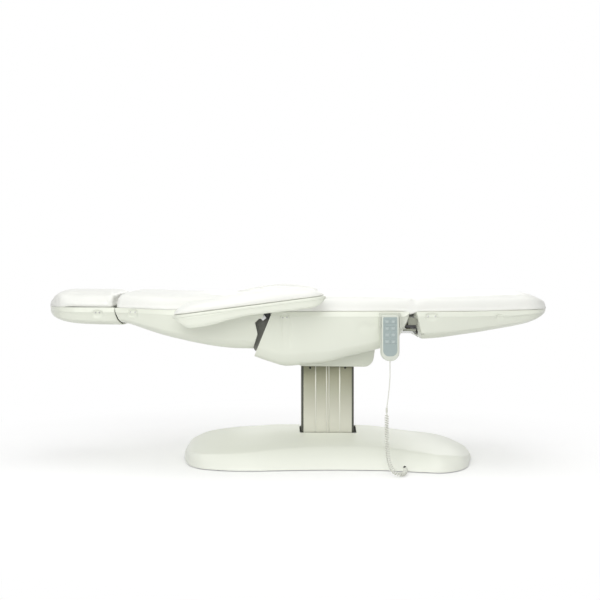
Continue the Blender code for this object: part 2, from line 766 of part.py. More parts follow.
def make_base_parts(base):
    """Lift drive, control box, mains inlet and the hand control's cord gland."""
    motor_low = plate_top() + FIT
    motor_high = motor_low + LIFT_MOTOR_HEIGHT
    motor = box((COLUMN_X - LIFT_MOTOR_HALF_X, -LIFT_MOTOR_HALF_Y, motor_low),
                (COLUMN_X + LIFT_MOTOR_HALF_X, LIFT_MOTOR_HALF_Y, motor_high))
    piece("lift_motor", "drive_plastic", base, [motor])
    tube = rod((COLUMN_X, 0.0, motor_high + FIT), (COLUMN_X, 0.0, LIFT_TUBE_TOP), LIFT_TUBE_RADIUS)
    bore = rod((COLUMN_X, 0.0, motor_high), (COLUMN_X, 0.0, LIFT_TUBE_TOP + OVERRUN),
               LIFT_ROD_RADIUS + SLIDE_FIT)
    piece("lift_tube", "zinc_pin", base, [tube], [bore])
    low = BASE_RIM_Z
    control = box((CONTROL_BOX_LEFT, -CONTROL_BOX_HALF, low),
                  (CONTROL_BOX_RIGHT, CONTROL_BOX_HALF, low + CONTROL_BOX_HEIGHT))
    inlet = box((BASE_LEFT + BASE_WALL, -INLET_HALF, low), (CONTROL_BOX_LEFT + OVERRUN, INLET_HALF, INLET_TOP))
    socket = box((BASE_LEFT - OVERRUN, -INLET_HALF + BASE_WALL, low + BASE_WALL),
                 (BASE_LEFT + OVERRUN, INLET_HALF - BASE_WALL, INLET_TOP - BASE_WALL))
    piece("control_box", "drive_plastic", base, [control, inlet], [socket])
    gland = rod((GLAND_X, GLAND_OUTER_Y, GLAND_Z), (GLAND_X, GLAND_INNER_Y, GLAND_Z), GLAND_RADIUS)
    piece("cord_gland", "rubber", base, [gland])


def make_lift_parts(lift):
    """What rides up on the inner tube: rod, head frame, its cover and the tilt pin."""
    rod_item = rod((COLUMN_X, 0.0, LIFT_ROD_BOTTOM), (COLUMN_X, 0.0, HEAD_PLATE_Z - FIT), LIFT_ROD_RADIUS)
    piece("lift_rod", "rod_steel", lift, [rod_item])
    top = HEAD_PLATE_Z + HEAD_PLATE_THICK
    hole_half = 0.5 * COLUMN_LENGTH + HEAD_COVER_CLEAR
    reach = hole_half + OVERRUN
    solids = [box((COLUMN_X - reach, -0.5 * COLUMN_WIDTH, HEAD_PLATE_Z),
                  (COLUMN_X + reach, 0.5 * COLUMN_WIDTH, top))]
    for side in (-1.0, 1.0):
        tab_low = min(side * reach, side * (hole_half + CLEAR))
        tab_high = max(side * reach, side * (hole_half + CLEAR))
        solids.append(box((COLUMN_X + tab_low, -0.5 * HEAD_COVER_HALF,
                           HEAD_COVER_BOTTOM + HEAD_COVER_WALL + FIT),
                          (COLUMN_X + tab_high, 0.5 * HEAD_COVER_HALF, top)))
        lug = strap((TILT_X, HEAD_PLATE_Z + 2.0 * TILT_PIN_RADIUS), (TILT_X, TILT_Z), 2.0 * TILT_PIN_RADIUS)
        near = side * TILT_LUG_Y - 0.5 * LUG_THICK
        solids.append(plate(lug, "Y", near, near + LUG_THICK))
    post_x = drive_right() - 2.0 * DRIVE_RADIUS
    solids.append(box((post_x - 0.5 * DRIVE_RADIUS, -DRIVE_RADIUS, HEAD_PLATE_Z),
                      (post_x + 0.5 * DRIVE_RADIUS, DRIVE_RADIUS, TILT_Z + TILT_LEVER - DRIVE_RADIUS - FIT)))
    solids.append(box((COLUMN_X, -0.5 * HEAD_COVER_HALF, HEAD_PLATE_Z),
                      (post_x + 0.5 * DRIVE_RADIUS, 0.5 * HEAD_COVER_HALF, top)))
    pin_half = TILT_HANGER_Y + LUG_THICK
    solids.append(rod((TILT_X, -pin_half, TILT_Z), (TILT_X, pin_half, TILT_Z), TILT_PIN_RADIUS))
    piece("head_frame", "steel_frame", lift, solids)
    rounding = (0.5 * HEAD_COVER_CLEAR, 4.0 * HEAD_COVER_CLEAR, 0.5 * HEAD_COVER_WALL, 0.5 * HEAD_COVER_WALL)
    outer = plate(rounded_outline((HEAD_COVER_LEFT, HEAD_COVER_BOTTOM), (HEAD_COVER_RIGHT, HEAD_COVER_TOP),
                                  rounding, 6), "Y", -HEAD_COVER_HALF, HEAD_COVER_HALF)
    wall = HEAD_COVER_WALL
    inside_rounding = (rounding[0] - 0.5 * wall, rounding[1] - wall, rounding[2], rounding[3])
    inside = plate(rounded_outline((HEAD_COVER_LEFT + wall, HEAD_COVER_BOTTOM + wall),
                                   (HEAD_COVER_RIGHT - wall, HEAD_COVER_TOP + OVERRUN),
                                   inside_rounding, 6), "Y", -HEAD_COVER_HALF + wall, HEAD_COVER_HALF - wall)
    side = 0.5 * COLUMN_WIDTH + HEAD_COVER_CLEAR
    hole = box((COLUMN_X - hole_half, -side, HEAD_COVER_BOTTOM - OVERRUN),
               (COLUMN_X + hole_half, side, HEAD_COVER_BOTTOM + OVERRUN))
    piece("column_head_cover", "shell_plastic", lift, [outer], [inside, hole])


def drive_right():
    """The right-hand end of the tilt drive."""
    return TILT_X + DRIVE_GAP + TILT_DRIVE_LENGTH


def drive_unit(name, carrier, eye_x, y, z, direction, length, moved=None, stroke=0.0):
    """A drive's housing, and its rod with a cross pin through its eye."""
    near = eye_x + direction * (DRIVE_GAP + stroke)
    far = near + direction * length
    housing = rod((near, y, z), (far, y, z), DRIVE_RADIUS)
    bore = rod((near - direction * OVERRUN, y, z), (far - direction * DRIVE_RADIUS, y, z),
               DRIVE_ROD_RADIUS + FIT)
    piece(name + "_actuator", "drive_plastic", carrier, [housing], [bore])
    end = far - direction * (DRIVE_RADIUS + CLEAR + stroke)
    shank = rod((eye_x, y, z), (end, y, z), DRIVE_ROD_RADIUS)
    half = 0.5 * DRIVE_EYE_HEIGHT
    eye = box((eye_x - half, y - DRIVE_EYE_HALF, z - half), (eye_x + half, y + DRIVE_EYE_HALF, z + half))
    reach = DRIVE_EYE_HALF + SLIDE_FIT + LEVER_THICK + SLIDE_FIT
    pin = rod((eye_x, y - reach, z), (eye_x, y + reach, z), DRIVE_PIN_RADIUS)
    piece(name + "_rod", "rod_steel", moved, [eye, shank, pin])


def lever_pair(middle_y):
    """The two flat plates' Y spans on either side of a drive's eye."""
    inner = DRIVE_EYE_HALF + SLIDE_FIT
    yield middle_y - inner - LEVER_THICK, middle_y - inner
    yield middle_y + inner, middle_y + inner + LEVER_THICK


def slot(centre, toward, near, far, half, y):
    """A cutter for a lever's slot, along the line from its axis to its pin."""
    length = math.hypot(toward[0] - centre[0], toward[1] - centre[1])
    along = ((toward[0] - centre[0]) / length, (toward[1] - centre[1]) / length)
    first = (centre[0] + along[0] * near, centre[1] + along[1] * near)
    second = (centre[0] + along[0] * far, centre[1] + along[1] * far)
    span = DRIVE_EYE_HALF + SLIDE_FIT + LEVER_THICK + SLIDE_FIT
    return plate(strap(first, second, half), "Y", y - span, y + span)


def frame_bars(left, right, crosses, half_at=None):
    """Two rails and the cross bars between them, in one plane."""
    top = frame_top()
    solids = []
    for side in (-1.0, 1.0):
        solids.append(box((left, side * RAIL_Y - 0.5 * FRAME_BAR, top - FRAME_HEIGHT),
                          (right, side * RAIL_Y + 0.5 * FRAME_BAR, top)))
    for x, half in crosses:
        solids.append(box((x - 0.5 * FRAME_BAR, -half, top - CROSS_HEIGHT),
                          (x + 0.5 * FRAME_BAR, half, top)))
    return solids


def pair(outline, y, thick):
    """The same flat plate on both sides of the bed."""
    for side in (-1.0, 1.0):
        yield plate(outline, "Y", side * y - 0.5 * thick, side * y + 0.5 * thick)


def make_seat_frame(seat):
    """The welded seat frame: rails, hinge ears, tilt hangers and the links' brackets."""
    rail = RAIL_Y + 0.5 * FRAME_BAR
    ear_reach = SEAT_EAR_Y + 0.5 * EAR_THICK
    first_x = SEAT_FRAME_LEFT + 0.5 * FRAME_BAR
    last_x = SEAT_FRAME_RIGHT - 0.5 * FRAME_BAR
    crosses = [(first_x, ear_reach), (TILT_X, rail), (last_x, ear_reach)]
    crosses += [(x, rail) for x in SEAT_CROSS_X]
    solids = frame_bars(SEAT_FRAME_LEFT, SEAT_FRAME_RIGHT, crosses)
    low = frame_top() - CROSS_HEIGHT
    back_root = (first_x, low + 0.5 * EAR_RADIUS)
    solids += pair(strap((BACK_HINGE_X, BACK_HINGE_Z), back_root, EAR_RADIUS), SEAT_EAR_Y, EAR_THICK)
    leg_root = (last_x, low + EAR_RADIUS)
    solids += pair(strap((LEG_HINGE_X, LEG_HINGE_Z), leg_root, EAR_RADIUS), SEAT_EAR_Y, EAR_THICK)
    link_pin = (BACK_HINGE_X + LINK_DX, BACK_HINGE_Z + SEAT_LINK_DZ)
    solids += pair(strap(link_pin, back_root, LINK_RADIUS), LEVER_Y, LEVER_THICK)
    reach = LINK_Y - 0.5 * LINK_THICK - SLIDE_FIT
    for side in (-1.0, 1.0):
        solids.append(rod((link_pin[0], side * reach, link_pin[1]),
                          (link_pin[0], side * LEVER_Y, link_pin[1]), LINK_PIN_RADIUS))
    hanger = [(SEAT_CROSS_X[0], frame_top()), (SEAT_CROSS_X[1], frame_top())]
    for step in range(ROUND_SIDES - 3):
        angle = -math.pi * step / (ROUND_SIDES - 4.0)
        hanger.append((TILT_X + 2.0 * TILT_PIN_RADIUS * math.cos(angle),
                       TILT_Z + 2.0 * TILT_PIN_RADIUS * math.sin(angle)))
    solids += pair(hanger, TILT_HANGER_Y, LUG_THICK)
    lever = strap((TILT_X, frame_top() - BACK_LEVER_RADIUS), (TILT_X, TILT_Z + TILT_LEVER), BACK_LEVER_RADIUS)
    for near, far in lever_pair(0.0):
        solids.append(plate(lever, "Y", near, far))
    cuts = [rod((TILT_X, -HEAD_COVER_HALF, TILT_Z), (TILT_X, HEAD_COVER_HALF, TILT_Z),
                TILT_PIN_RADIUS + SLIDE_FIT)]
    cuts.append(slot((TILT_X, TILT_Z), (TILT_X, TILT_Z + TILT_LEVER), TILT_LEVER,
                     TILT_LEVER / math.cos(TILT_RANGE), DRIVE_PIN_RADIUS + TILT_SLOT_PLAY, 0.0))
    for x, z in ((BACK_HINGE_X, BACK_HINGE_Z), (LEG_HINGE_X, LEG_HINGE_Z)):
        cuts.append(rod((x, -2.0 * SHAFT_HALF, z), (x, 2.0 * SHAFT_HALF, z), SHAFT_RADIUS + FIT))
    piece("seat_frame", "steel_frame", seat, solids, cuts)


def make_seat_parts(seat, back_rod, leg_rod, lift, tilt_rod):
    """Drives, hinge shafts and boards."""
    drive_unit("tilt", lift, TILT_X, 0.0, TILT_Z + TILT_LEVER, 1.0, TILT_DRIVE_LENGTH, tilt_rod)
    drive_unit("back", seat, BACK_HINGE_X + BACK_DRIVE_REACH, BACK_DRIVE_Y,
               BACK_HINGE_Z - BACK_DRIVE_DROP, 1.0, BACK_DRIVE_LENGTH, back_rod)
    drive_unit("leg", seat, LEG_HINGE_X + LEG_DRIVE_REACH, LEG_DRIVE_Y,
               LEG_HINGE_Z - LEG_DRIVE_DROP, -1.0, LEG_DRIVE_LENGTH, leg_rod,
               2.0 * LEG_DRIVE_REACH)
    for name, x, z in (("back", BACK_HINGE_X, BACK_HINGE_Z), ("leg", LEG_HINGE_X, LEG_HINGE_Z)):
        shaft = rod((x, -SHAFT_HALF, z), (x, SHAFT_HALF, z), SHAFT_RADIUS)
        piece(name + "_hinge_shaft", "zinc_pin", seat, [shaft])
    make_board("seat_board", seat, SEAT_BOARD_LEFT, SEAT_BOARD_RIGHT, HALF_WIDTH - BOARD_INSET)


def make_board(name, carrier, left, right, half):
    """A plywood board between a frame and its cushion."""
    top = SEAM_Z - FIT
    board = box((left, -half, top - BOARD_THICKNESS), (right, half, top))
    piece(name, "plywood", carrier, [board])


def make_back_frame(back):
    """The back's frame: ears, drive lever, armrest bearings and headrest brackets."""
    first_x = BACK_FRAME_LEFT + 0.5 * FRAME_BAR
    last_x = BACK_FRAME_RIGHT - 0.5 * FRAME_BAR
    bearing_x = ARM_PIVOT_X + 3.0 * ARM_HUB_RADIUS
    crosses = [(first_x, RAIL_Y), (bearing_x, BEARING_Y), (last_x, MOVING_EAR_Y + 0.5 * EAR_THICK)]
    solids = frame_bars(BACK_FRAME_LEFT, BACK_FRAME_RIGHT, crosses)
    low = frame_top() - CROSS_HEIGHT
    axis = (BACK_HINGE_X, BACK_HINGE_Z)
    root = (last_x, low + 0.5 * EAR_RADIUS)
    solids += pair(strap(axis, root, EAR_RADIUS), MOVING_EAR_Y, EAR_THICK)
    pin = (BACK_HINGE_X + BACK_DRIVE_REACH, BACK_HINGE_Z - BACK_DRIVE_DROP)
    for near, far in lever_pair(BACK_DRIVE_Y):
        solids.append(plate(strap(axis, pin, BACK_LEVER_RADIUS), "Y", near, far))
        solids.append(plate(strap(axis, root, EAR_RADIUS), "Y", near, far))
    bearing = strap((ARM_PIVOT_X, ARM_PIVOT_Z), (bearing_x, ARM_PIVOT_Z), ARM_HUB_RADIUS)
    solids += pair(bearing, BEARING_Y, LEVER_THICK)
    neck = strap((first_x, low + EAR_RADIUS), (HEAD_AXIS_X, HEAD_AXIS_Z), EAR_RADIUS)
    solids += pair(neck, HEAD_ARM_Y + HEAD_ARM_THICK + 2.0 * SLIDE_FIT, HEAD_ARM_THICK)
    cuts = [rod((BACK_HINGE_X, -2.0 * SHAFT_HALF, BACK_HINGE_Z),
                (BACK_HINGE_X, 2.0 * SHAFT_HALF, BACK_HINGE_Z), SHAFT_RADIUS + SLIDE_FIT)]
    for side in (-1.0, 1.0):
        cuts.append(rod((ARM_PIVOT_X, side * LINK_Y, ARM_PIVOT_Z),
                        (ARM_PIVOT_X, side * SHAFT_HALF, ARM_PIVOT_Z), ARM_SHAFT_RADIUS + SLIDE_FIT))
    cuts.append(rod((HEAD_AXIS_X, -SHAFT_HALF, HEAD_AXIS_Z), (HEAD_AXIS_X, SHAFT_HALF, HEAD_AXIS_Z),
                    HEAD_PIN_RADIUS + SLIDE_FIT))
    far = math.hypot(BACK_DRIVE_REACH, BACK_DRIVE_DROP)
    cuts.append(slot(axis, pin, BACK_DRIVE_DROP, far, DRIVE_PIN_RADIUS + BACK_SLOT_PLAY, BACK_DRIVE_Y))
    piece("back_frame", "steel_frame", back, solids, cuts)
    make_board("back_board", back, BACK_BOARD_LEFT, BACK_BOARD_RIGHT, BACK_BOARD_HALF)


def make_leg_frame(leg):
    """The leg rest's frame with its ears and its slotted drive lever."""
    first_x = LEG_FRAME_LEFT + 0.5 * FRAME_BAR
    last_x = LEG_FRAME_RIGHT - 0.5 * FRAME_BAR
    crosses = [(first_x, MOVING_EAR_Y + 0.5 * EAR_THICK), (last_x, RAIL_Y)]
    solids = frame_bars(LEG_FRAME_LEFT, LEG_FRAME_RIGHT, crosses)
    axis = (LEG_HINGE_X, LEG_HINGE_Z)
    root = (first_x, frame_top() - CROSS_HEIGHT + EAR_RADIUS)
    solids += pair(strap(axis, root, EAR_RADIUS), MOVING_EAR_Y, EAR_THICK)
    pin = (LEG_HINGE_X + LEG_DRIVE_REACH, LEG_HINGE_Z - LEG_DRIVE_DROP)
    for near, far in lever_pair(LEG_DRIVE_Y):
        solids.append(plate(strap(axis, pin, LEG_LEVER_RADIUS), "Y", near, far))
        solids.append(plate(strap(axis, root, EAR_RADIUS), "Y", near, far))
    far = math.hypot(LEG_DRIVE_REACH, LEG_DRIVE_DROP)
    cuts = [slot(axis, pin, LEG_DRIVE_DROP, far, DRIVE_PIN_RADIUS + LEG_SLOT_PLAY, LEG_DRIVE_Y)]
    cuts.append(rod((LEG_HINGE_X, -2.0 * SHAFT_HALF, LEG_HINGE_Z),
                    (LEG_HINGE_X, 2.0 * SHAFT_HALF, LEG_HINGE_Z), SHAFT_RADIUS + SLIDE_FIT))
    piece("leg_frame", "steel_frame", leg, solids, cuts)
    make_board("leg_board", leg, LEG_BOARD_LEFT, LEG_BOARD_RIGHT, HALF_WIDTH - BOARD_INSET)


def along(shares, place, column):
    """A column of a table of shares, read at a place between its rows."""
    for first, second in zip(shares, shares[1:]):
        if place <= second[0]:
            inner = (place - first[0]) / (second[0] - first[0])
            return mix(first[column], second[column], max(inner, 0.0))
    return shares[-1][column]


# Rows of the underside shells: top x, bottom x, bulge of the end, depth and
# half-width, as shares of the shell's length, depth and half-width
SEAT_SHELL_SHARES = (
    (0.122, 0.000, 0.0, 0.827, 1.0), (0.162, 0.093, 0.0, 0.915, 1.0), (0.242, 0.212, 0.0, 1.000, 1.0),
    (0.323, 0.307, 0.0, 0.980, 1.0), (0.478, 0.478, 0.0, 0.935, 1.0), (0.603, 0.603, 0.0, 0.838, 1.0),
    (0.682, 0.682, 0.0, 0.785, 1.0), (0.761, 0.761, 0.0, 0.730, 1.0), (0.851, 0.851, 0.0, 0.665, 1.0),
    (0.910, 0.922, 0.0, 0.560, 1.0), (0.940, 0.955, 0.0, 0.430, 1.0), (0.970, 0.985, 0.0, 0.300, 1.0),
    (1.000, 1.000, 0.0, 0.150, 1.0),
)
BACK_SHELL_SHARES = (
    (0.003, 0.043, 0.006, 0.331, 0.868), (0.084, 0.103, 0.0, 0.381, 0.890), (0.196, 0.196, 0.0, 0.496, 0.930),
    (0.331, 0.331, 0.0, 0.655, 0.972), (0.458, 0.458, 0.0, 0.770, 0.993), (0.553, 0.553, 0.0, 0.849, 1.0),
    (0.721, 0.721, 0.0, 0.957, 1.0), (0.850, 0.832, 0.0, 0.993, 1.0), (0.994, 0.935, 0.0, 1.000, 1.0),
)
LEG_SHELL_SHARES = (
    (0.000, 0.054, 0.0, 1.000, 1.0), (0.112, 0.156, 0.0, 0.971, 1.0), (0.320, 0.340, 0.0, 0.856, 1.0),
    (0.469, 0.469, 0.0, 0.769, 1.0), (0.600, 0.600, 0.0, 0.665, 1.0), (0.730, 0.730, 0.0, 0.558, 1.0),
    (0.819, 0.819, 0.0, 0.465, 1.0), (0.862, 0.862, 0.0, 0.405, 0.990), (0.905, 0.905, 0.0, 0.330, 0.962),
    (0.940, 0.940, 0.0, 0.245, 0.915), (0.970, 0.970, 0.0, 0.160, 0.845), (1.000, 1.000, 0.0, 0.080, 0.700),
)
HEAD_SHELL_SHARES = (
    (0.000, 0.000, 0.0, 0.190, 0.130), (0.020, 0.020, 0.0, 0.270, 0.260), (0.052, 0.052, 0.0, 0.360, 0.430),
    (0.110, 0.110, 0.0, 0.470, 0.650), (0.190, 0.190, 0.0, 0.560, 0.840), (0.320, 0.320, 0.0, 0.640, 0.965),
    (0.500, 0.500, 0.0, 0.760, 1.0), (0.750, 0.780, 0.0, 0.900, 1.0), (1.000, 1.088, 0.026, 1.000, 1.0),
)
HALF_WIDTH_SHARES = (
    (0.000, 0.130), (0.015, 0.240), (0.045, 0.410), (0.090, 0.600), (0.170, 0.820), (0.300, 0.965), (1.0, 1.0),
)
# Armrest: place along it, half-width, depth of its shell and height of its pad
ARM_SHARES = (
    (0.000, 0.27, 0.12, 0.10), (0.020, 0.52, 0.38, 0.28), (0.045, 0.74, 0.62, 0.45), (0.110, 0.93, 1.00, 0.66),
    (0.200, 0.99, 1.00, 0.73), (0.370, 1.00, 0.76, 0.84), (0.500, 1.00, 0.64, 0.93), (0.650, 1.00, 0.66, 1.00),
    (0.800, 1.00, 0.69, 0.82), (0.900, 0.96, 0.69, 0.60), (0.950, 0.80, 0.55, 0.44), (0.982, 0.55, 0.35, 0.26),
    (1.000, 0.27, 0.12, 0.10),
)


def shell_rows(shares, start, length, depth, half):
    """The rows of a tub in real sizes."""
    return [(start + top * length, start + bottom * length, bulge * length, deep * depth, wide * half)
            for top, bottom, bulge, deep, wide in shares]


def head_half_at(x):
    """The headrest's half-width at a place along it."""
    head_end = HEAD_AXIS_X - HEAD_END_RADIUS
    place = (x - HEAD_TIP_X) / (head_end - HEAD_TIP_X)
    return HEAD_HALF_WIDTH * along(HALF_WIDTH_SHARES, place, 1)


def section_half_at(x):
    """The half-width of the back, seat and leg cushions at a place along the bed."""
    taper_end = ARM_REAR_X
    if x < taper_end:
        share = (x - BACK_SHELL_X) / (taper_end - BACK_SHELL_X)
        rise = 1.0 - (1.0 - max(share, 0.0)) ** 2
        return mix(BACK_HEAD_HALF_WIDTH, HALF_WIDTH, rise)
    run = x - (LEG_TIP_X - LEG_CORNER_RADIUS)
    if run > 0.0:
        run = min(run, LEG_CORNER_RADIUS)
        return HALF_WIDTH - LEG_CORNER_RADIUS + math.sqrt(LEG_CORNER_RADIUS ** 2 - run ** 2)
    return HALF_WIDTH


def pad_height_at(x):
    """Side height and crown of the upholstery; it thins out at both tips."""
    tip = min(x - HEAD_TIP_X, LEG_TIP_X - x) / (LEG_CORNER_RADIUS + LEG_CORNER_RADIUS)
    share = min(max(tip, 0.0), 1.0)
    share = mix(TIP_HEIGHT_SHARE, 1.0, math.sqrt(1.0 - (1.0 - share) ** 2))
    return share * CUSHION_HEIGHT, share * CUSHION_CROWN


def arc_face(radius):
    """A face that stays square to the headrest's axis."""
    return lambda z: HEAD_AXIS_X - math.sqrt(radius ** 2 - (z - HEAD_AXIS_Z) ** 2)


def slant_face(x, slope):
    """A flat end face that leans with height."""
    return lambda z: x + slope * (z - SEAM_Z)


def make_cushions(head, back, seat, leg):
    """The four cushions of the lying surface."""
    tip = lambda z: HEAD_TIP_X
    head_pad = cushion(tip, arc_face(HEAD_END_RADIUS), head_half_at, pad_height_at)
    piece("headrest_cushion", "upholstery", head, [head_pad])
    back_end = slant_face(BACK_HINGE_X - BACK_CUSHION_END, -BACK_CUSHION_SLANT)
    back_pad = cushion(arc_face(BACK_END_RADIUS), back_end, section_half_at, pad_height_at)
    pockets = []
    for side in (-1.0, 1.0):
        low = HEAD_ARM_Y - 0.5 * HEAD_ARM_THICK - CLEAR
        high = HEAD_ARM_Y + 1.5 * HEAD_ARM_THICK + CLEAR
        pockets.append(box((BACK_SHELL_X - OVERRUN, min(side * low, side * high), SEAM_Z - OVERRUN),
                           (HEAD_AXIS_X + HEAD_POCKET_REACH, max(side * low, side * high),
                            SEAM_Z + HEAD_POCKET_HEIGHT)))
    piece("back_cushion", "upholstery", back, [back_pad], pockets)
    seat_start = slant_face(BACK_HINGE_X + SEAT_CUSHION_END, SEAT_CUSHION_SLANT)
    seat_end = LEG_HINGE_X - 0.5 * LEG_CUSHION_GAP
    seat_pad = cushion(seat_start, lambda z: seat_end, section_half_at, pad_height_at)
    piece("seat_cushion", "upholstery", seat, [seat_pad])
    leg_start = LEG_HINGE_X + 0.5 * LEG_CUSHION_GAP
    leg_pad = cushion(lambda z: leg_start, lambda z: LEG_TIP_X, section_half_at, pad_height_at, stations=11)
    piece("leg_cushion", "upholstery", leg, [leg_pad])


def make_shells(head, back, seat, leg):
    """The four moulded undersides, with their openings."""
    half = HALF_WIDTH - SHELL_INSET
    rim = SEAM_Z - FIT
    rows = shell_rows(SEAT_SHELL_SHARES, SEAT_SHELL_X, SEAT_SHELL_LENGTH, SEAT_SHELL_DEPTH, half)
    belly = box((BELLY_LEFT, -BELLY_HALF, SEAM_Z - SEAT_SHELL_DEPTH - OVERRUN),
                (BELLY_RIGHT, BELLY_HALF, SEAM_Z - 0.5 * SEAT_SHELL_DEPTH))
    right = SEAT_SHELL_X + SEAT_SHELL_LENGTH
    drive_half = DRIVE_RADIUS + CLEAR
    drive_z = LEG_HINGE_Z - LEG_DRIVE_DROP
    drive_left = BELLY_RIGHT - BELLY_HALF * DRIVE_SLOT_SHARE
    drive_slot = box((drive_left, LEG_DRIVE_Y - drive_half, drive_z - 3.0 * DRIVE_RADIUS),
                     (right + OVERRUN, LEG_DRIVE_Y + drive_half, drive_z + 3.0 * DRIVE_RADIUS))
    cuts = [belly, drive_slot]
    for side in (-1.0, 1.0):
        low = MOVING_EAR_Y - 0.5 * EAR_THICK - CLEAR
        high = SEAT_EAR_Y + 0.5 * EAR_THICK + CLEAR
        cuts.append(box((SEAT_FRAME_RIGHT - FRAME_BAR, min(side * low, side * high),
                         LEG_HINGE_Z - 3.0 * EAR_RADIUS),
                        (right + OVERRUN, max(side * low, side * high), SEAM_Z - EAR_RADIUS)))
    piece("seat_shell", "shell_plastic", seat, [tub(rows, 0.0, rim, SHELL_WALL)], cuts)
    rows = shell_rows(BACK_SHELL_SHARES, BACK_SHELL_X, BACK_SHELL_LENGTH, BACK_SHELL_DEPTH, half)
    cuts = []
    for side in (-1.0, 1.0):
        cuts.append(rod((ARM_PIVOT_X, side * LEVER_Y, ARM_PIVOT_Z), (ARM_PIVOT_X, side * ARM_Y, ARM_PIVOT_Z),
                        ARM_SHAFT_RADIUS + 2.0 * SLIDE_FIT))
        low = HEAD_ARM_Y - 0.5 * HEAD_ARM_THICK - SLIDE_FIT
        high = HEAD_ARM_Y + 0.5 * HEAD_ARM_THICK + SLIDE_FIT
        cuts.append(box((BACK_SHELL_X - OVERRUN, min(side * low, side * high), SEAM_Z - HEAD_SLOT_DEPTH),
                        (BACK_SHELL_X + 2.0 * OVERRUN, max(side * low, side * high), SEAM_Z + OVERRUN)))
    piece("back_shell", "shell_plastic", back, [tub(rows, 0.0, rim, SHELL_WALL, closed_start=True)], cuts)
    rows = shell_rows(LEG_SHELL_SHARES, LEG_SHELL_X, LEG_SHELL_LENGTH, LEG_SHELL_DEPTH, half)
    piece("leg_shell", "shell_plastic", leg, [tub(rows, 0.0, rim, SHELL_WALL, closed_end=True)])
    start = HEAD_TIP_X + SHELL_INSET
    length = arc_face(HEAD_END_RADIUS)(rim) - start
    rows = shell_rows(HEAD_SHELL_SHARES, start, length, HEAD_SHELL_DEPTH, HEAD_HALF_WIDTH - SHELL_INSET)
    piece("headrest_shell", "shell_plastic", head, [tub(rows, 0.0, rim, SHELL_WALL, closed_start=True)])


def make_headrest_bracket(head):
    """The headrest's pan with two arms that reach its axis."""
    top = SEAM_Z - FIT
    pan_left = HEAD_TIP_X + HEAD_SHELL_DEPTH
    pan_right = HEAD_AXIS_X - HEAD_END_RADIUS - SLIDE_FIT
    pan_half = HEAD_PAN_SHARE * HEAD_HALF_WIDTH
    solids = [box((pan_left, -pan_half, top - HEAD_PAN_THICK), (pan_right, pan_half, top))]
    axis = (HEAD_AXIS_X, HEAD_AXIS_Z)
    root = (pan_right - 4.0 * HEAD_ARM_HEIGHT, top - 0.5 * HEAD_ARM_HEIGHT)
    knee = (pan_right + HEAD_ARM_HEIGHT, top - 0.5 * HEAD_ARM_HEIGHT)
    solids += pair(strap(root, knee, 0.5 * HEAD_ARM_HEIGHT), HEAD_ARM_Y, HEAD_ARM_THICK)
    solids += pair(strap(knee, axis, 0.5 * HEAD_ARM_HEIGHT), HEAD_ARM_Y, HEAD_ARM_THICK)
    for side in (-1.0, 1.0):
        far = HEAD_ARM_Y + 1.5 * HEAD_ARM_THICK + 3.0 * SLIDE_FIT
        solids.append(rod((HEAD_AXIS_X, side * HEAD_ARM_Y, HEAD_AXIS_Z),
                          (HEAD_AXIS_X, side * far, HEAD_AXIS_Z), HEAD_PIN_RADIUS))
    piece("headrest_bracket", "steel_frame", head, solids)


def tilt_arm(item):
    """Lean an armrest, built level, up from its rear tip."""
    cosine, sine = math.cos(ARM_TILT), math.sin(ARM_TILT)
    for vert in item.data.vertices:
        x = vert.co.x - ARM_REAR_X
        z = vert.co.z - ARM_REAR_Z
        vert.co.x = ARM_REAR_X + x * cosine - z * sine
        vert.co.z = ARM_REAR_Z + x * sine + z * cosine
    return item


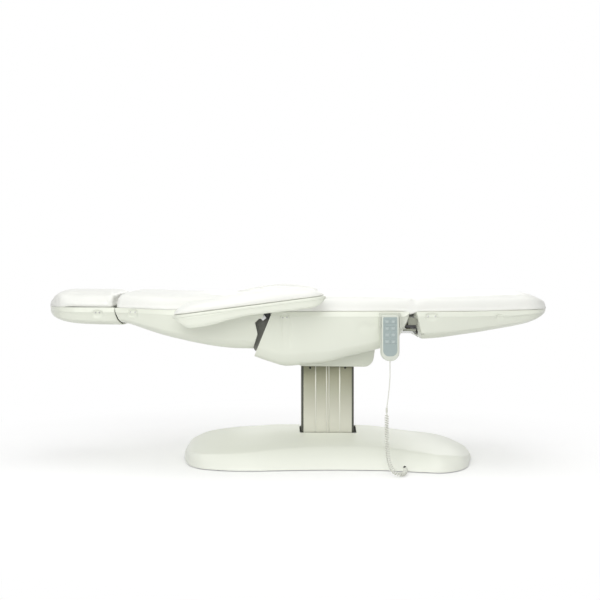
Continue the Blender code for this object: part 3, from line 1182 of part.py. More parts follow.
def make_arm(side, name, carrier):
    """One armrest: shell, pad and the steel bracket that turns in the back frame."""
    rows = []
    for place, wide, deep, tall in ARM_SHARES:
        x = ARM_REAR_X + place * ARM_LENGTH
        rows.append((x, x, 0.0, deep * ARM_SHELL_DEPTH, wide * ARM_HALF))
    shell = tub(rows, side * ARM_Y, ARM_REAR_Z - FIT, ARM_WALL, closed_start=True, closed_end=True)
    hole = rod((ARM_PIVOT_X, side * SHAFT_HALF, ARM_PIVOT_Z), (ARM_PIVOT_X, side * ARM_PLATE_Y, ARM_PIVOT_Z),
               ARM_SHAFT_RADIUS + FIT)
    piece("armrest_shell_" + name, "shell_plastic", carrier, [tilt_arm(shell)], [hole])

    def place_at(x):
        return (x - ARM_REAR_X) / ARM_LENGTH

    def half_at(x):
        return ARM_HALF * along(ARM_SHARES, place_at(x), 1)

    def height_at(x):
        height = ARM_PAD_HEIGHT * along(ARM_SHARES, place_at(x), 3)
        return ARM_SIDE_SHARE * height, (1.0 - ARM_SIDE_SHARE) * height

    pad = cushion(lambda z: ARM_REAR_X, lambda z: ARM_REAR_X + ARM_LENGTH, half_at, height_at,
                  side * ARM_Y, lambda x: ARM_REAR_Z)
    piece("armrest_pad_" + name, "upholstery", carrier, [tilt_arm(pad)])
    pivot = (ARM_PIVOT_X, ARM_PIVOT_Z)
    pin = (ARM_PIVOT_X + LINK_DX, ARM_PIVOT_Z + ARM_LINK_DZ)
    plate_x = ARM_PIVOT_X + ARM_PLATE_REACH
    plate_z = ARM_REAR_Z + (plate_x - ARM_REAR_X) * math.tan(ARM_TILT) - ARM_PLATE_DROP
    solids = []
    for outline, y in ((strap(pivot, pin, ARM_LEVER_RADIUS), LEVER_Y),
                       (strap(pivot, (plate_x, plate_z), ARM_HUB_RADIUS), ARM_PLATE_Y)):
        near = side * y - 0.5 * LEVER_THICK
        solids.append(plate(outline, "Y", near, near + LEVER_THICK))
    solids.append(rod((ARM_PIVOT_X, side * LEVER_Y, ARM_PIVOT_Z),
                      (ARM_PIVOT_X, side * ARM_PLATE_Y, ARM_PIVOT_Z), ARM_SHAFT_RADIUS))
    reach = LINK_Y - 0.5 * LINK_THICK - SLIDE_FIT
    solids.append(rod((pin[0], side * reach, pin[1]), (pin[0], side * LEVER_Y, pin[1]), LINK_PIN_RADIUS))
    piece("armrest_bracket_" + name, "steel_frame", carrier, solids)


def make_link(side, name, carrier):
    """The flat link that keeps an armrest level as the back rises."""
    seat_pin = (BACK_HINGE_X + LINK_DX, BACK_HINGE_Z + SEAT_LINK_DZ)
    arm_pin = (ARM_PIVOT_X + LINK_DX, ARM_PIVOT_Z + ARM_LINK_DZ)
    low = side * LINK_Y - 0.5 * LINK_THICK
    bar = plate(strap(arm_pin, seat_pin, LINK_RADIUS), "Y", low, low + LINK_THICK)
    cuts = []
    for pin, play in ((seat_pin, FIT), (arm_pin, LINK_PLAY)):
        cuts.append(rod((pin[0], low - OVERRUN, pin[1]), (pin[0], low + LINK_THICK + OVERRUN, pin[1]),
                        LINK_PIN_RADIUS + play))
    piece("armrest_link_" + name, "steel_frame", carrier, [bar], cuts)


KEY_NAMES = ("height", "back", "leg", "tilt")


def key_places():
    """Name and middle of each key: a column to raise and a column to lower."""
    middle = HANDSET_LEFT + 0.5 * HANDSET_WIDTH
    for row, name in enumerate(KEY_NAMES):
        for side, way in ((-0.5, "up"), (0.5, "down")):
            yield "key_%s_%s" % (name, way), middle + side * KEY_PITCH_X, KEY_TOP_Z - row * KEY_PITCH_Z


def make_handset(seat, keys):
    """The hand control: two shells, eight keys and the holder on the seat shell's rim."""
    right = HANDSET_LEFT + HANDSET_WIDTH
    top = HANDSET_BOTTOM + HANDSET_HEIGHT
    radii = (HANDSET_BOTTOM_RADIUS, HANDSET_BOTTOM_RADIUS, HANDSET_TOP_RADIUS, HANDSET_TOP_RADIUS)
    inner_radii = [radius - HANDSET_WALL for radius in radii]
    outline = rounded_outline((HANDSET_LEFT, HANDSET_BOTTOM), (right, top), radii, 4)
    hollow = rounded_outline((HANDSET_LEFT + HANDSET_WALL, HANDSET_BOTTOM + HANDSET_WALL),
                             (right - HANDSET_WALL, top - HANDSET_WALL), inner_radii, 4)
    split = HANDSET_FACE_Y + 0.5 * HANDSET_DEPTH
    rear = HANDSET_FACE_Y + HANDSET_DEPTH
    cuts = [plate(hollow, "Y", HANDSET_FACE_Y + HANDSET_WALL, split + OVERRUN)]
    for name, x, z in key_places():
        low = (x - 0.5 * KEY_WIDTH, z - 0.5 * KEY_HEIGHT)
        high = (x + 0.5 * KEY_WIDTH, z + 0.5 * KEY_HEIGHT)
        cap = plate(rounded_outline(low, high, (KEY_RADIUS,) * 4, 2), "Y",
                    HANDSET_FACE_Y - KEY_PROUD, HANDSET_FACE_Y - KEY_PROUD + KEY_LENGTH)
        piece(name, "key_plastic", keys[name], [cap])
        low = (low[0] - KEY_PLAY, low[1] - KEY_PLAY)
        high = (high[0] + KEY_PLAY, high[1] + KEY_PLAY)
        cuts.append(plate(rounded_outline(low, high, (KEY_RADIUS,) * 4, 2), "Y",
                          HANDSET_FACE_Y - OVERRUN, HANDSET_FACE_Y + 0.5 * HANDSET_DEPTH))
    piece("handset_front", "handset_plastic", seat, [plate(outline, "Y", HANDSET_FACE_Y, split - FIT)], cuts)
    hollow_cut = plate(hollow, "Y", split - OVERRUN, rear - HANDSET_WALL)
    piece("handset_rear", "handset_plastic", seat, [plate(outline, "Y", split, rear)], [hollow_cut])
    wall_y = -(HALF_WIDTH - SHELL_INSET) - FIT
    left = HANDSET_LEFT - FIT - HOLDER_CLIP
    far = right + FIT + HOLDER_CLIP
    solids = [box((left, rear + FIT, HOLDER_BOTTOM), (far, wall_y, HOLDER_TOP))]
    for low, high in ((left, HANDSET_LEFT - FIT), (right + FIT, far)):
        solids.append(box((low, rear - HOLDER_CLIP_REACH, HOLDER_BOTTOM),
                          (high, 0.5 * (rear + wall_y), HANDSET_BOTTOM + HANDSET_HEIGHT - HANDSET_TOP_RADIUS)))
    piece("handset_holder", "black_paint", seat, solids)


# Routes chosen by hand: the straight lead, and the axis of the curly part
LEAD_ROUTE = (
    (0.34625, -0.3240, 0.4017), (0.34625, -0.3240, 0.3850), (0.3462, -0.3240, 0.3550),
    (0.3445, -0.3242, 0.3150), (0.3400, -0.3246, 0.2750), (0.3360, -0.3250, 0.2450),
    (0.3345, -0.3250, 0.2303), (0.3345, -0.3250, 0.2233),
)
COIL_ROUTE = (
    (0.3345, -0.3250, 0.2230), (0.3345, -0.3252, 0.2150), (0.3341, -0.3270, 0.1900), (0.3341, -0.3310, 0.1572),
    (0.3350, -0.3430, 0.0918), (0.3385, -0.3600, 0.0560), (0.3470, -0.3770, 0.0300), (0.3600, -0.3870, 0.0155),
    (0.3760, -0.3860, 0.0112), (0.3895, -0.3720, 0.0112), (0.3975, -0.3480, 0.0125), (0.4015, -0.3230, 0.0140),
    (0.4038, -0.3030, 0.0145), (0.4040, -0.2943, 0.0145),
)


def smooth_route(points, count):
    """Evenly spaced places on a smooth curve through hand-chosen points."""
    points = [Vector(point) for point in points]
    fine = []
    for number in range(len(points) - 1):
        before = points[max(number - 1, 0)]
        start, end = points[number], points[number + 1]
        after = points[min(number + 2, len(points) - 1)]
        for step in range(ROUTE_STEPS):
            t = step / ROUTE_STEPS
            fine.append(0.5 * ((2.0 * start) + (end - before) * t
                               + (2.0 * before - 5.0 * start + 4.0 * end - after) * t * t
                               + (3.0 * start - before - 3.0 * end + after) * t * t * t))
    fine.append(points[-1])
    reach = [0.0]
    for first, second in zip(fine, fine[1:]):
        reach.append(reach[-1] + (second - first).length)
    places = []
    index = 0
    for step in range(count):
        target = reach[-1] * step / (count - 1.0)
        while index < len(reach) - 2 and reach[index + 1] < target:
            index += 1
        share = (target - reach[index]) / max(reach[index + 1] - reach[index], TINY)
        places.append(fine[index].lerp(fine[index + 1], min(share, 1.0)))
    return places, reach[-1]


def curl_points():
    """The curly cord's centreline: a helix round its axis with straight ends."""
    count = CURLS * CURL_POINTS + 1
    axis, length = smooth_route(COIL_ROUTE, count)
    lead = 3.0 * CORD_RADIUS
    side = Vector((0.0, 1.0, 0.0))
    points = []
    for number, centre in enumerate(axis):
        ahead = axis[min(number + 1, count - 1)] - axis[max(number - 1, 0)]
        ahead.normalize()
        side = (side - ahead * side.dot(ahead)).normalized()
        other = ahead.cross(side)
        run = length * number / (count - 1.0)
        ease = min(max((min(run, length - run) - lead) / (2.0 * COIL_RADIUS), 0.0), 1.0)
        radius = COIL_RADIUS * ease * ease * (3.0 - 2.0 * ease)
        angle = 2.0 * math.pi * number / CURL_POINTS
        points.append(centre + (side * math.cos(angle) + other * math.sin(angle)) * radius)
    return points, length


def cord(name, carrier, points, bevel_resolution):
    """A cord as a filled tube along its points."""
    curve = bpy.data.curves.new(name, "CURVE")
    curve.dimensions = "3D"
    curve.bevel_depth = CORD_RADIUS
    curve.bevel_resolution = bevel_resolution
    curve.use_fill_caps = True
    spline = curve.splines.new("POLY")
    spline.points.add(len(points) - 1)
    shift = Vector(carrier.location)
    for point, place in zip(spline.points, points):
        point.co = (*(place - shift), 1.0)
    item = bpy.data.objects.new(name, curve)
    item.data.materials.append(material("cord_sheath"))
    item.parent = carrier
    bpy.context.scene.collection.objects.link(item)


def make_cords(base, seat):
    """The hand control's cord: a straight lead, then its curls down to the base."""
    lead, lead_length = smooth_route(LEAD_ROUTE, LEAD_POINTS)
    cord("cord_lead", seat, lead, 2)
    curls, length = curl_points()
    cord("curly_cord", base, curls, 1)
    gap = length
    for number, first in enumerate(curls):
        for second in curls[number + CURL_POINTS - 2:]:
            gap = min(gap, (first - second).length - 2.0 * CORD_RADIUS)
    wire = sum((second - first).length for first, second in zip(curls, curls[1:]))
    print("lead length", round(lead_length, 4), "curly wire length", round(wire, 4))
    print("least gap between curls, mm", round(gap * 1000.0, 3))


def main():
    """Build every body and its pieces."""
    clear_scene()
    base = body("base")
    lift = body("lift", (COLUMN_X, 0.0, COLUMN_TOP))
    tilt_rod = body("tilt_rod", (TILT_X, 0.0, TILT_Z + TILT_LEVER))
    seat = body("seat", (TILT_X, 0.0, TILT_Z))
    back = body("back", (BACK_HINGE_X, 0.0, BACK_HINGE_Z))
    back_rod = body("back_rod", (BACK_HINGE_X + BACK_DRIVE_REACH, BACK_DRIVE_Y,
                                 BACK_HINGE_Z - BACK_DRIVE_DROP))
    head = body("head", (HEAD_AXIS_X, 0.0, HEAD_AXIS_Z))
    leg = body("leg", (LEG_HINGE_X, 0.0, LEG_HINGE_Z))
    leg_rod = body("leg_rod", (LEG_HINGE_X + LEG_DRIVE_REACH, LEG_DRIVE_Y, LEG_HINGE_Z - LEG_DRIVE_DROP))
    make_base_cover(base)
    make_base_frame(base)
    make_feet(base)
    make_column(base, lift)
    make_base_parts(base)
    make_lift_parts(lift)
    make_seat_frame(seat)
    make_seat_parts(seat, back_rod, leg_rod, lift, tilt_rod)
    make_back_frame(back)
    make_leg_frame(leg)
    make_cushions(head, back, seat, leg)
    make_shells(head, back, seat, leg)
    make_headrest_bracket(head)
    for side, name in ((-1.0, "near"), (1.0, "far")):
        arm = body("arm_" + name, (ARM_PIVOT_X, side * ARM_Y, ARM_PIVOT_Z))
        make_arm(side, name, arm)
        link = body("link_" + name, (BACK_HINGE_X + LINK_DX, side * LINK_Y, BACK_HINGE_Z + SEAT_LINK_DZ))
        make_link(side, name, link)
    keys = {name: body(name, (x, HANDSET_FACE_Y, z)) for name, x, z in key_places()}
    make_handset(seat, keys)
    make_cords(base, seat)


main()
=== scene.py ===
"""Electric treatment bed: the visible pieces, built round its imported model.

Metres, +Z up. The leg end points along +X and the hand control hangs on the
-Y side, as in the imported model.
"""
import json
import math

import bmesh
import bpy
from bpy.props import FloatProperty, FloatVectorProperty, IntProperty, PointerProperty
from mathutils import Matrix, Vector

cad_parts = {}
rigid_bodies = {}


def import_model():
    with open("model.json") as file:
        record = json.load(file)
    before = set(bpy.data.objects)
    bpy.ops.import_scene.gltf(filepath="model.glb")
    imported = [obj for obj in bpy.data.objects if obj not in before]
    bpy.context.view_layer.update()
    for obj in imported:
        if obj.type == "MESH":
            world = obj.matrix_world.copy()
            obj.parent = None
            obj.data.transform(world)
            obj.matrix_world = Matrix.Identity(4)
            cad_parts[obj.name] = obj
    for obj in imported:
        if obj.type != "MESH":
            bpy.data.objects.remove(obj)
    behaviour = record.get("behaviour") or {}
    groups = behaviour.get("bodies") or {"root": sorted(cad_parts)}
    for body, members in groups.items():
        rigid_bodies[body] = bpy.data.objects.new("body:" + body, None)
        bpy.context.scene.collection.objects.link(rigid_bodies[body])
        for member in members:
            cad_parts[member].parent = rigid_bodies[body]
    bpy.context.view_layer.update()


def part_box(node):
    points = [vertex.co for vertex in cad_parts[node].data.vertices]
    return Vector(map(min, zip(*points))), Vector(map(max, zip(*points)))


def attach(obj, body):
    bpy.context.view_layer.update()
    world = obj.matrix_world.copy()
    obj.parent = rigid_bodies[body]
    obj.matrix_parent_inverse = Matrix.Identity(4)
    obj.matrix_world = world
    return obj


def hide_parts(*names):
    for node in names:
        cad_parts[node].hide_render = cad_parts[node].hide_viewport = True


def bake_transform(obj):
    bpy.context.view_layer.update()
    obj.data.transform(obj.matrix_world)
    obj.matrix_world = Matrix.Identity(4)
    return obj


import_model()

bl_info = {
    "name": "Electric treatment bed",
    "version": (1, 0, 0),
    "blender": (4, 5, 0),
    "location": "View3D > Sidebar > Bed",
    "description": "Builds an upholstered treatment bed on a lifting column",
    "category": "Add Mesh",
}

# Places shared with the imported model
SEAM_Z = 0.580
HALF_WIDTH = 0.305
SHELL_HALF = 0.302
HEAD_TIP_X = -0.931
HEAD_AXIS = (-0.550, 0.596)
BACK_END_RADIUS = 0.095
HEAD_END_RADIUS = 0.102
BACK_HINGE = (-0.094, 0.579)
LEG_HINGE = (0.431, 0.546)
LEG_TIP_X = 0.931
LEG_CORNER = 0.090
HEAD_HALF = 0.226
BACK_HEAD_HALF = 0.265
ARM_PIVOT = (-0.378, 0.559)
ARM_REAR = (-0.417, 0.566)
ARM_LENGTH = 0.5355
ARM_TILT = math.radians(7.4)
ARM_Y = 0.380
ARM_HALF = 0.045
COLUMN_X = 0.134
COLUMN_HALF_X = 0.100
COLUMN_HALF_Y = 0.0775
COLUMN_FOOT_Z = 0.0163
COLUMN_TOP_Z = 0.366
BASE_LEFT = -0.4120
BASE_LENGTH = 1.0980
BASE_RIM_Z = 0.0035
TINY = 0.000001
# Height of the seam between upholstery and mouldings along the bed: it rises to the head
SEAM_HEIGHTS = (
    (-0.931, 0.5890), (-0.585, 0.5877), (-0.440, 0.5820), (-0.100, 0.5772),
    (0.050, 0.5758), (0.600, 0.5758), (0.730, 0.5786), (0.931, 0.5840),
)


class BedSizes(bpy.types.PropertyGroup):
    """Sizes of the soft and moulded pieces."""

    pad_height: FloatProperty(
        name="Pad height", description="Height of a cushion's side above its seam",
        default=0.058, unit="LENGTH")
    pad_crown: FloatProperty(
        name="Pad crown", description="Rise of a cushion's middle over its edge",
        default=0.008, unit="LENGTH")
    pad_corner: FloatProperty(
        name="Pad corner", description="Radius of a cushion's upper edge",
        default=0.020, unit="LENGTH")
    pad_swell: FloatProperty(
        name="Pad swell", description="Most that the stuffing may push a cushion's cover out",
        default=0.005, unit="LENGTH")
    pad_voxel: FloatProperty(
        name="Pad mesh size", description="Size of the faces of the cushions' covers",
        default=0.0055, unit="LENGTH")
    shell_wall: FloatProperty(
        name="Shell wall", description="Thickness of the moulded undersides",
        default=0.0038, unit="LENGTH")
    cord_radius: FloatProperty(
        name="Cord radius", description="Radius of the hand control's cord",
        default=0.0019, unit="LENGTH")
    curls: IntProperty(
        name="Curls", description="Turns of the curly part of the cord", default=42)


class BedColours(bpy.types.PropertyGroup):
    """Colours of the main finishes."""

    upholstery: FloatVectorProperty(
        name="Upholstery", description="Colour of the synthetic leather",
        default=(0.86, 0.865, 0.82), size=3, subtype="COLOR")
    moulding: FloatVectorProperty(
        name="Moulding", description="Colour of the moulded covers",
        default=(0.765, 0.79, 0.69), size=3, subtype="COLOR")
    # A lighter copy of the moulding colour for the floor cover: painted light where the lamps and the floor's
    # bounce light it more.
    floor_cover: FloatVectorProperty(
        name="Floor cover", description="Colour of the moulded cover on the floor",
        default=(0.90, 0.92, 0.83), size=3, subtype="COLOR")
    column: FloatVectorProperty(
        name="Column", description="Colour of the column's metal",
        default=(0.72, 0.72, 0.62), size=3, subtype="COLOR")
    control: FloatVectorProperty(
        name="Hand control", description="Colour of the hand control's body",
        default=(0.66, 0.69, 0.61), size=3, subtype="COLOR")
    label: FloatVectorProperty(
        name="Control face", description="Colour of the hand control's face",
        default=(0.36, 0.43, 0.42), size=3, subtype="COLOR")


def sizes():
    """The sizes kept on the scene."""
    return bpy.context.scene.bed_sizes


def colours():
    """The colours kept on the scene."""
    return bpy.context.scene.bed_colours


def deselect():
    """Leave edit mode and select nothing."""
    if bpy.context.mode != "OBJECT":
        bpy.ops.object.mode_set(mode="OBJECT")
    bpy.ops.object.select_all(action="DESELECT")


def activate(item):
    """Select one object alone."""
    deselect()
    item.select_set(True)
    bpy.context.view_layer.objects.active = item


def settle(item):
    """Put an object's place, turn and scale into its mesh."""
    activate(item)
    bpy.ops.object.transform_apply(location=True, rotation=True, scale=True)
    return item


def added(name):
    """The primitive just added, named and settled."""
    item = bpy.context.object
    item.name = name
    item.data.name = name
    return settle(item)


def apply_modifier(item, kind, **values):
    """Add one modifier with its values and apply it."""
    activate(item)
    modifier = item.modifiers.new(kind.lower(), kind)
    for key, value in values.items():
        setattr(modifier, key, value)
    bpy.ops.object.modifier_apply(modifier=modifier.name)
    return item


def bevelled(item, width, segments=2, degrees=50.0):
    """Round the edges of a piece that turn by more than an angle."""
    return apply_modifier(item, "BEVEL", width=width, segments=segments, limit_method="ANGLE",
                          angle_limit=math.radians(degrees))


def cleaned(item, merge=0.0):
    """Merge a mesh's doubles and turn its faces outwards."""
    activate(item)
    bpy.ops.object.mode_set(mode="EDIT")
    bpy.ops.mesh.select_all(action="SELECT")
    if merge:
        bpy.ops.mesh.remove_doubles(threshold=merge)
    bpy.ops.mesh.normals_make_consistent(inside=False)
    bpy.ops.object.mode_set(mode="OBJECT")
    return item


def block(name, low, high, bevel=0.0, segments=2):
    """A block between two corners with rounded edges."""
    deselect()
    middle = [0.5 * (a + b) for a, b in zip(low, high)]
    bpy.ops.mesh.primitive_cube_add(size=1.0, location=middle)
    bpy.context.object.scale = [b - a for a, b in zip(low, high)]
    item = added(name)
    if bevel:
        apply_modifier(item, "BEVEL", width=bevel, segments=segments, limit_method="NONE")
    return item


# Openings on both sides of the bed: range in X, distance from the middle, half-width,
# range in Z and rounding
SIDE_OPENINGS = {
    "arm_pocket": ((-0.68, -0.533), 0.1025, 0.0125, (0.55, 0.6275), 0.003),
    "arm_slot": ((-0.665, -0.605), 0.100, 0.0035, (0.541, 0.60), 0.0),
    "ear_notch": ((0.388, 0.437), 0.269, 0.013, (0.519, 0.571), 0.003),
    "stop_notch": ((0.420, 0.474), 0.2825, 0.0045, (0.494, 0.551), 0.0),
}


def both_sides(name):
    """Blocks that cut one opening on the near side and on the far side."""
    x, away, half, z, rounding = SIDE_OPENINGS[name]
    return [block(name, (x[0], way * away - half, z[0]), (x[1], way * away + half, z[1]), rounding)
            for way in (-1.0, 1.0)]


def peg(name, start, end, radius, sides=32, bevel=0.0, segments=2):
    """A round bar between two places with rounded rims."""
    deselect()
    start, end = Vector(start), Vector(end)
    run = end - start
    bpy.ops.mesh.primitive_cylinder_add(vertices=sides, radius=radius, depth=run.length,
                                        location=0.5 * (start + end))
    bpy.context.object.rotation_mode = "QUATERNION"
    bpy.context.object.rotation_quaternion = run.to_track_quat("Z", "Y")
    item = added(name)
    return bevelled(item, bevel, segments) if bevel else item


def carve(item, cutters, folded=False):
    """Cut one object by others; a cut that empties it is made again with its folds joined."""
    for cutter in cutters:
        kept = item.data.copy()
        apply_modifier(item, "BOOLEAN", object=cutter, solver="EXACT", use_self=folded)
        if len(item.data.vertices) < len(kept.vertices) // 2:
            item.data = kept
            apply_modifier(item, "BOOLEAN", object=cutter, solver="EXACT", use_self=True)
        bpy.data.objects.remove(cutter, do_unlink=True)
    return item


def joined(items):
    """Join objects into the first of them."""
    deselect()
    for item in items:
        item.select_set(True)
    bpy.context.view_layer.objects.active = items[0]
    bpy.ops.object.join()
    return items[0]


def face_out(item, inside):
    """Turn the faces of a skin so that they look away from a place inside it."""
    inside = Vector(inside)
    score = sum((face.center - inside).dot(face.normal) * face.area for face in item.data.polygons)
    if score < 0.0:
        activate(item)
        bpy.ops.object.mode_set(mode="EDIT")
        bpy.ops.mesh.select_all(action="SELECT")
        bpy.ops.mesh.flip_normals()
        bpy.ops.object.mode_set(mode="OBJECT")
    return item


def grid_skin(name, rows, inside, caps=()):
    """A grid whose points are moved to rows of places; caps close its end rows."""
    deselect()
    along, across = len(rows) - 1, len(rows[0]) - 1
    bpy.ops.mesh.primitive_grid_add(x_subdivisions=along, y_subdivisions=across, size=2.0)
    item = added(name)
    ends = {0: [], along: []}
    for vert in item.data.vertices:
        i = round((vert.co.x + 1.0) * 0.5 * along)
        j = round((vert.co.y + 1.0) * 0.5 * across)
        vert.co = rows[i][j]
        if i in ends:
            ends[i].append(vert.index)
    for cap in caps:
        mesh = item.data
        activate(item)
        for part in (*mesh.polygons, *mesh.edges, *mesh.vertices):
            part.select = False
        for index in ends[along if cap == "end" else 0]:
            mesh.vertices[index].select = True
        bpy.ops.object.mode_set(mode="EDIT")
        bpy.ops.mesh.select_mode(type="VERT")
        bpy.ops.mesh.edge_face_add()
        bpy.ops.object.mode_set(mode="OBJECT")
    return face_out(cleaned(item, 0.00005), inside)


def mix(first, second, share):
    """The value a share of the way from first to second."""
    return first + (second - first) * share


def eased(values, place):
    """A smooth value at a place between evenly numbered values, without overshoot."""
    last = len(values) - 1
    place = min(max(place, 0.0), float(last))
    index = min(int(place), last - 1)
    share = place - index

    def rise(number):
        if number < 0 or number >= last:
            return 0.0
        return values[number + 1] - values[number]

    def slope(number):
        before, after = rise(number - 1), rise(number)
        if number == 0:
            return after
        if number == last:
            return before
        if before * after <= 0.0:
            return 0.0
        return 2.0 * before * after / (before + after)

    start, end = values[index], values[index + 1]
    first, second = slope(index), slope(index + 1)
    square, cube = share * share, share ** 3
    return (start * (2.0 * cube - 3.0 * square + 1.0) + first * (cube - 2.0 * square + share)
            + end * (3.0 * square - 2.0 * cube) + second * (cube - square))


def between(table, place, column):
    """A column of a table, read smoothly at a place given in its first column."""
    places = [row[0] for row in table]
    if place <= places[0]:
        return table[0][column]
    for number in range(len(places) - 1):
        if place <= places[number + 1]:
            share = (place - places[number]) / (places[number + 1] - places[number])
            return eased([row[column] for row in table], number + share)
    return table[-1][column]


def row_at(table, place):
    """All columns of a table, smooth at a place counted in rows."""
    return [eased([row[column] for row in table], place) for column in range(len(table[0]))]


def mirrored(right):
    """A row of places, from one rim over to its mirror image's rim."""
    return [(x, -y, z) for x, y, z in right[:-1]] + right[::-1]


def seam_at(x):
    """The height of the seam at a place along the bed."""
    return between(SEAM_HEIGHTS, x, 1)


def dressed(item, finish, body, nodes=(), angle=35.0):
    """Finish a piece: shading, material, its body and what it stands for.
    """
    item.data.materials.clear()
    item.data.materials.append(finish)
    activate(item)
    bpy.ops.object.shade_smooth_by_angle(angle=math.radians(angle))
    if body:
        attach(item, body)
    if nodes:
        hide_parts(*nodes)
    return item


def node_tree(name):
    """An empty material's node tree with its shader and output."""
    made = bpy.data.materials.new(name)
    made.use_nodes = True
    tree = made.node_tree
    return made, tree, tree.nodes["Principled BSDF"]


def linked(tree, kind, values=None, **attributes):
    """A new node with values on its sockets; a value that is a socket is linked."""
    node = tree.nodes.new(kind)
    for key, value in attributes.items():
        setattr(node, key, value)
    for key, value in (values or {}).items():
        if isinstance(value, bpy.types.NodeSocket):
            tree.links.new(value, node.inputs[key])
        else:
            node.inputs[key].default_value = value
    return node


def effect_group(name, inputs, outputs):
    """An empty node group with named sockets."""
    tree = bpy.data.node_groups.new(name, "ShaderNodeTree")
    for label, kind, value in inputs:
        socket = tree.interface.new_socket(label, in_out="INPUT", socket_type="NodeSocket" + kind)
        if value is not None:
            socket.default_value = value
    for label, kind in outputs:
        tree.interface.new_socket(label, in_out="OUTPUT", socket_type="NodeSocket" + kind)
    start = tree.nodes.new("NodeGroupInput")
    end = tree.nodes.new("NodeGroupOutput")
    return tree, start.outputs, end.inputs


def tone_group():
    """Slow drift between two close tones, as on sheet goods and mouldings."""
    found = bpy.data.node_groups.get("slow_tone")
    if found:
        return found
    tree, given, result = effect_group(
        "slow_tone",
        (("Vector", "Vector", None), ("Scale", "Float", 8.0), ("Amount", "Float", 0.5),
         ("Color", "Color", (0.8, 0.8, 0.8, 1.0)), ("Shade", "Color", (0.7, 0.7, 0.7, 1.0))),
        (("Color", "Color"), ("Mask", "Float")))
    noise = linked(tree, "ShaderNodeTexNoise", {"Vector": given["Vector"], "Scale": given["Scale"],
                                                "Detail": 4.0, "Roughness": 0.55})
    spread = linked(tree, "ShaderNodeMapRange", {"Value": noise.outputs["Fac"], "From Min": 0.30,
                                                 "From Max": 0.70, "To Min": 0.0, "To Max": given["Amount"]})
    blend = linked(tree, "ShaderNodeMix", {"Factor": spread.outputs["Result"]}, data_type="RGBA")
    tree.links.new(given["Color"], blend.inputs[6])
    tree.links.new(given["Shade"], blend.inputs[7])
    tree.links.new(blend.outputs[2], result["Color"])
    tree.links.new(spread.outputs["Result"], result["Mask"])
    return tree


def pebble_group():
    """A fine pebbled grain, as on embossed leather and textured mouldings."""
    found = bpy.data.node_groups.get("pebble_grain")
    if found:
        return found
    tree, given, result = effect_group(
        "pebble_grain",
        (("Vector", "Vector", None), ("Scale", "Float", 600.0), ("Crease", "Float", 0.4)),
        (("Height", "Float"),))
    wobble = linked(tree, "ShaderNodeTexNoise", {"Vector": given["Vector"], "Scale": 90.0, "Detail": 2.0})
    shift = linked(tree, "ShaderNodeMixRGB", {"Fac": 0.012, "Color1": given["Vector"],
                                              "Color2": wobble.outputs["Color"]})
    cells = linked(tree, "ShaderNodeTexVoronoi", {"Vector": shift.outputs["Color"], "Scale": given["Scale"]},
                   feature="DISTANCE_TO_EDGE")
    walls = linked(tree, "ShaderNodeMapRange", {"Value": cells.outputs["Distance"], "From Min": 0.0,
                                                "From Max": 0.25})
    fine = linked(tree, "ShaderNodeTexNoise", {"Vector": given["Vector"], "Scale": 1400.0, "Detail": 2.0})
    total = linked(tree, "ShaderNodeMath", {0: walls.outputs["Result"], 1: given["Crease"]},
                   operation="MULTIPLY")
    height = linked(tree, "ShaderNodeMath", {0: total.outputs["Value"], 1: fine.outputs["Fac"]},
                    operation="ADD")
    tree.links.new(height.outputs["Value"], result["Height"])
    return tree


def brush_group():
    """Fine parallel strokes of brushed or drawn metal."""
    found = bpy.data.node_groups.get("brush_strokes")
    if found:
        return found
    tree, given, result = effect_group(
        "brush_strokes",
        (("Vector", "Vector", None), ("Stretch", "Vector", (900.0, 900.0, 6.0)), ("Low", "Float", 0.26),
         ("High", "Float", 0.40)),
        (("Height", "Float"), ("Roughness", "Float")))
    scaled = linked(tree, "ShaderNodeVectorMath", {0: given["Vector"], 1: given["Stretch"]},
                    operation="MULTIPLY")
    noise = linked(tree, "ShaderNodeTexNoise", {"Vector": scaled.outputs["Vector"], "Scale": 1.0,
                                                "Detail": 3.0, "Roughness": 0.7})
    rough = linked(tree, "ShaderNodeMapRange", {"Value": noise.outputs["Fac"], "From Min": 0.3,
                                                "From Max": 0.7, "To Min": given["Low"],
                                                "To Max": given["High"]})
    tree.links.new(noise.outputs["Fac"], result["Height"])
    tree.links.new(rough.outputs["Result"], result["Roughness"])
    return tree


def wear_group():
    """A mask that picks out worn edges, broken up by noise."""
    found = bpy.data.node_groups.get("edge_wear")
    if found:
        return found
    tree, given, result = effect_group(
        "edge_wear",
        (("Vector", "Vector", None), ("Start", "Float", 0.53), ("End", "Float", 0.62),
         ("Color", "Color", (0.3, 0.3, 0.3, 1.0)), ("Worn", "Color", (0.6, 0.6, 0.6, 1.0))),
        (("Color", "Color"), ("Mask", "Float")))
    shape = tree.nodes.new("ShaderNodeNewGeometry")
    noise = linked(tree, "ShaderNodeTexNoise", {"Vector": given["Vector"], "Scale": 160.0, "Detail": 3.0})
    edge = linked(tree, "ShaderNodeMapRange", {"Value": shape.outputs["Pointiness"],
                                               "From Min": given["Start"], "From Max": given["End"]})
    broken = linked(tree, "ShaderNodeMath", {0: edge.outputs["Result"], 1: noise.outputs["Fac"]},
                    operation="MULTIPLY", use_clamp=True)
    blend = linked(tree, "ShaderNodeMix", {"Factor": broken.outputs["Value"]}, data_type="RGBA")
    tree.links.new(given["Color"], blend.inputs[6])
    tree.links.new(given["Worn"], blend.inputs[7])
    tree.links.new(blend.outputs[2], result["Color"])
    tree.links.new(broken.outputs["Value"], result["Mask"])
    return tree


def placed(tree, group, values):
    """A node group put into a material with its own values."""
    node = tree.nodes.new("ShaderNodeGroup")
    node.node_tree = group
    for key, value in values.items():
        if isinstance(value, bpy.types.NodeSocket):
            tree.links.new(value, node.inputs[key])
        else:
            node.inputs[key].default_value = value
    return node


def shaded(colour, share):
    """A colour darkened by a share, as a four-part colour."""
    return (*[part * share for part in colour[:3]], 1.0)


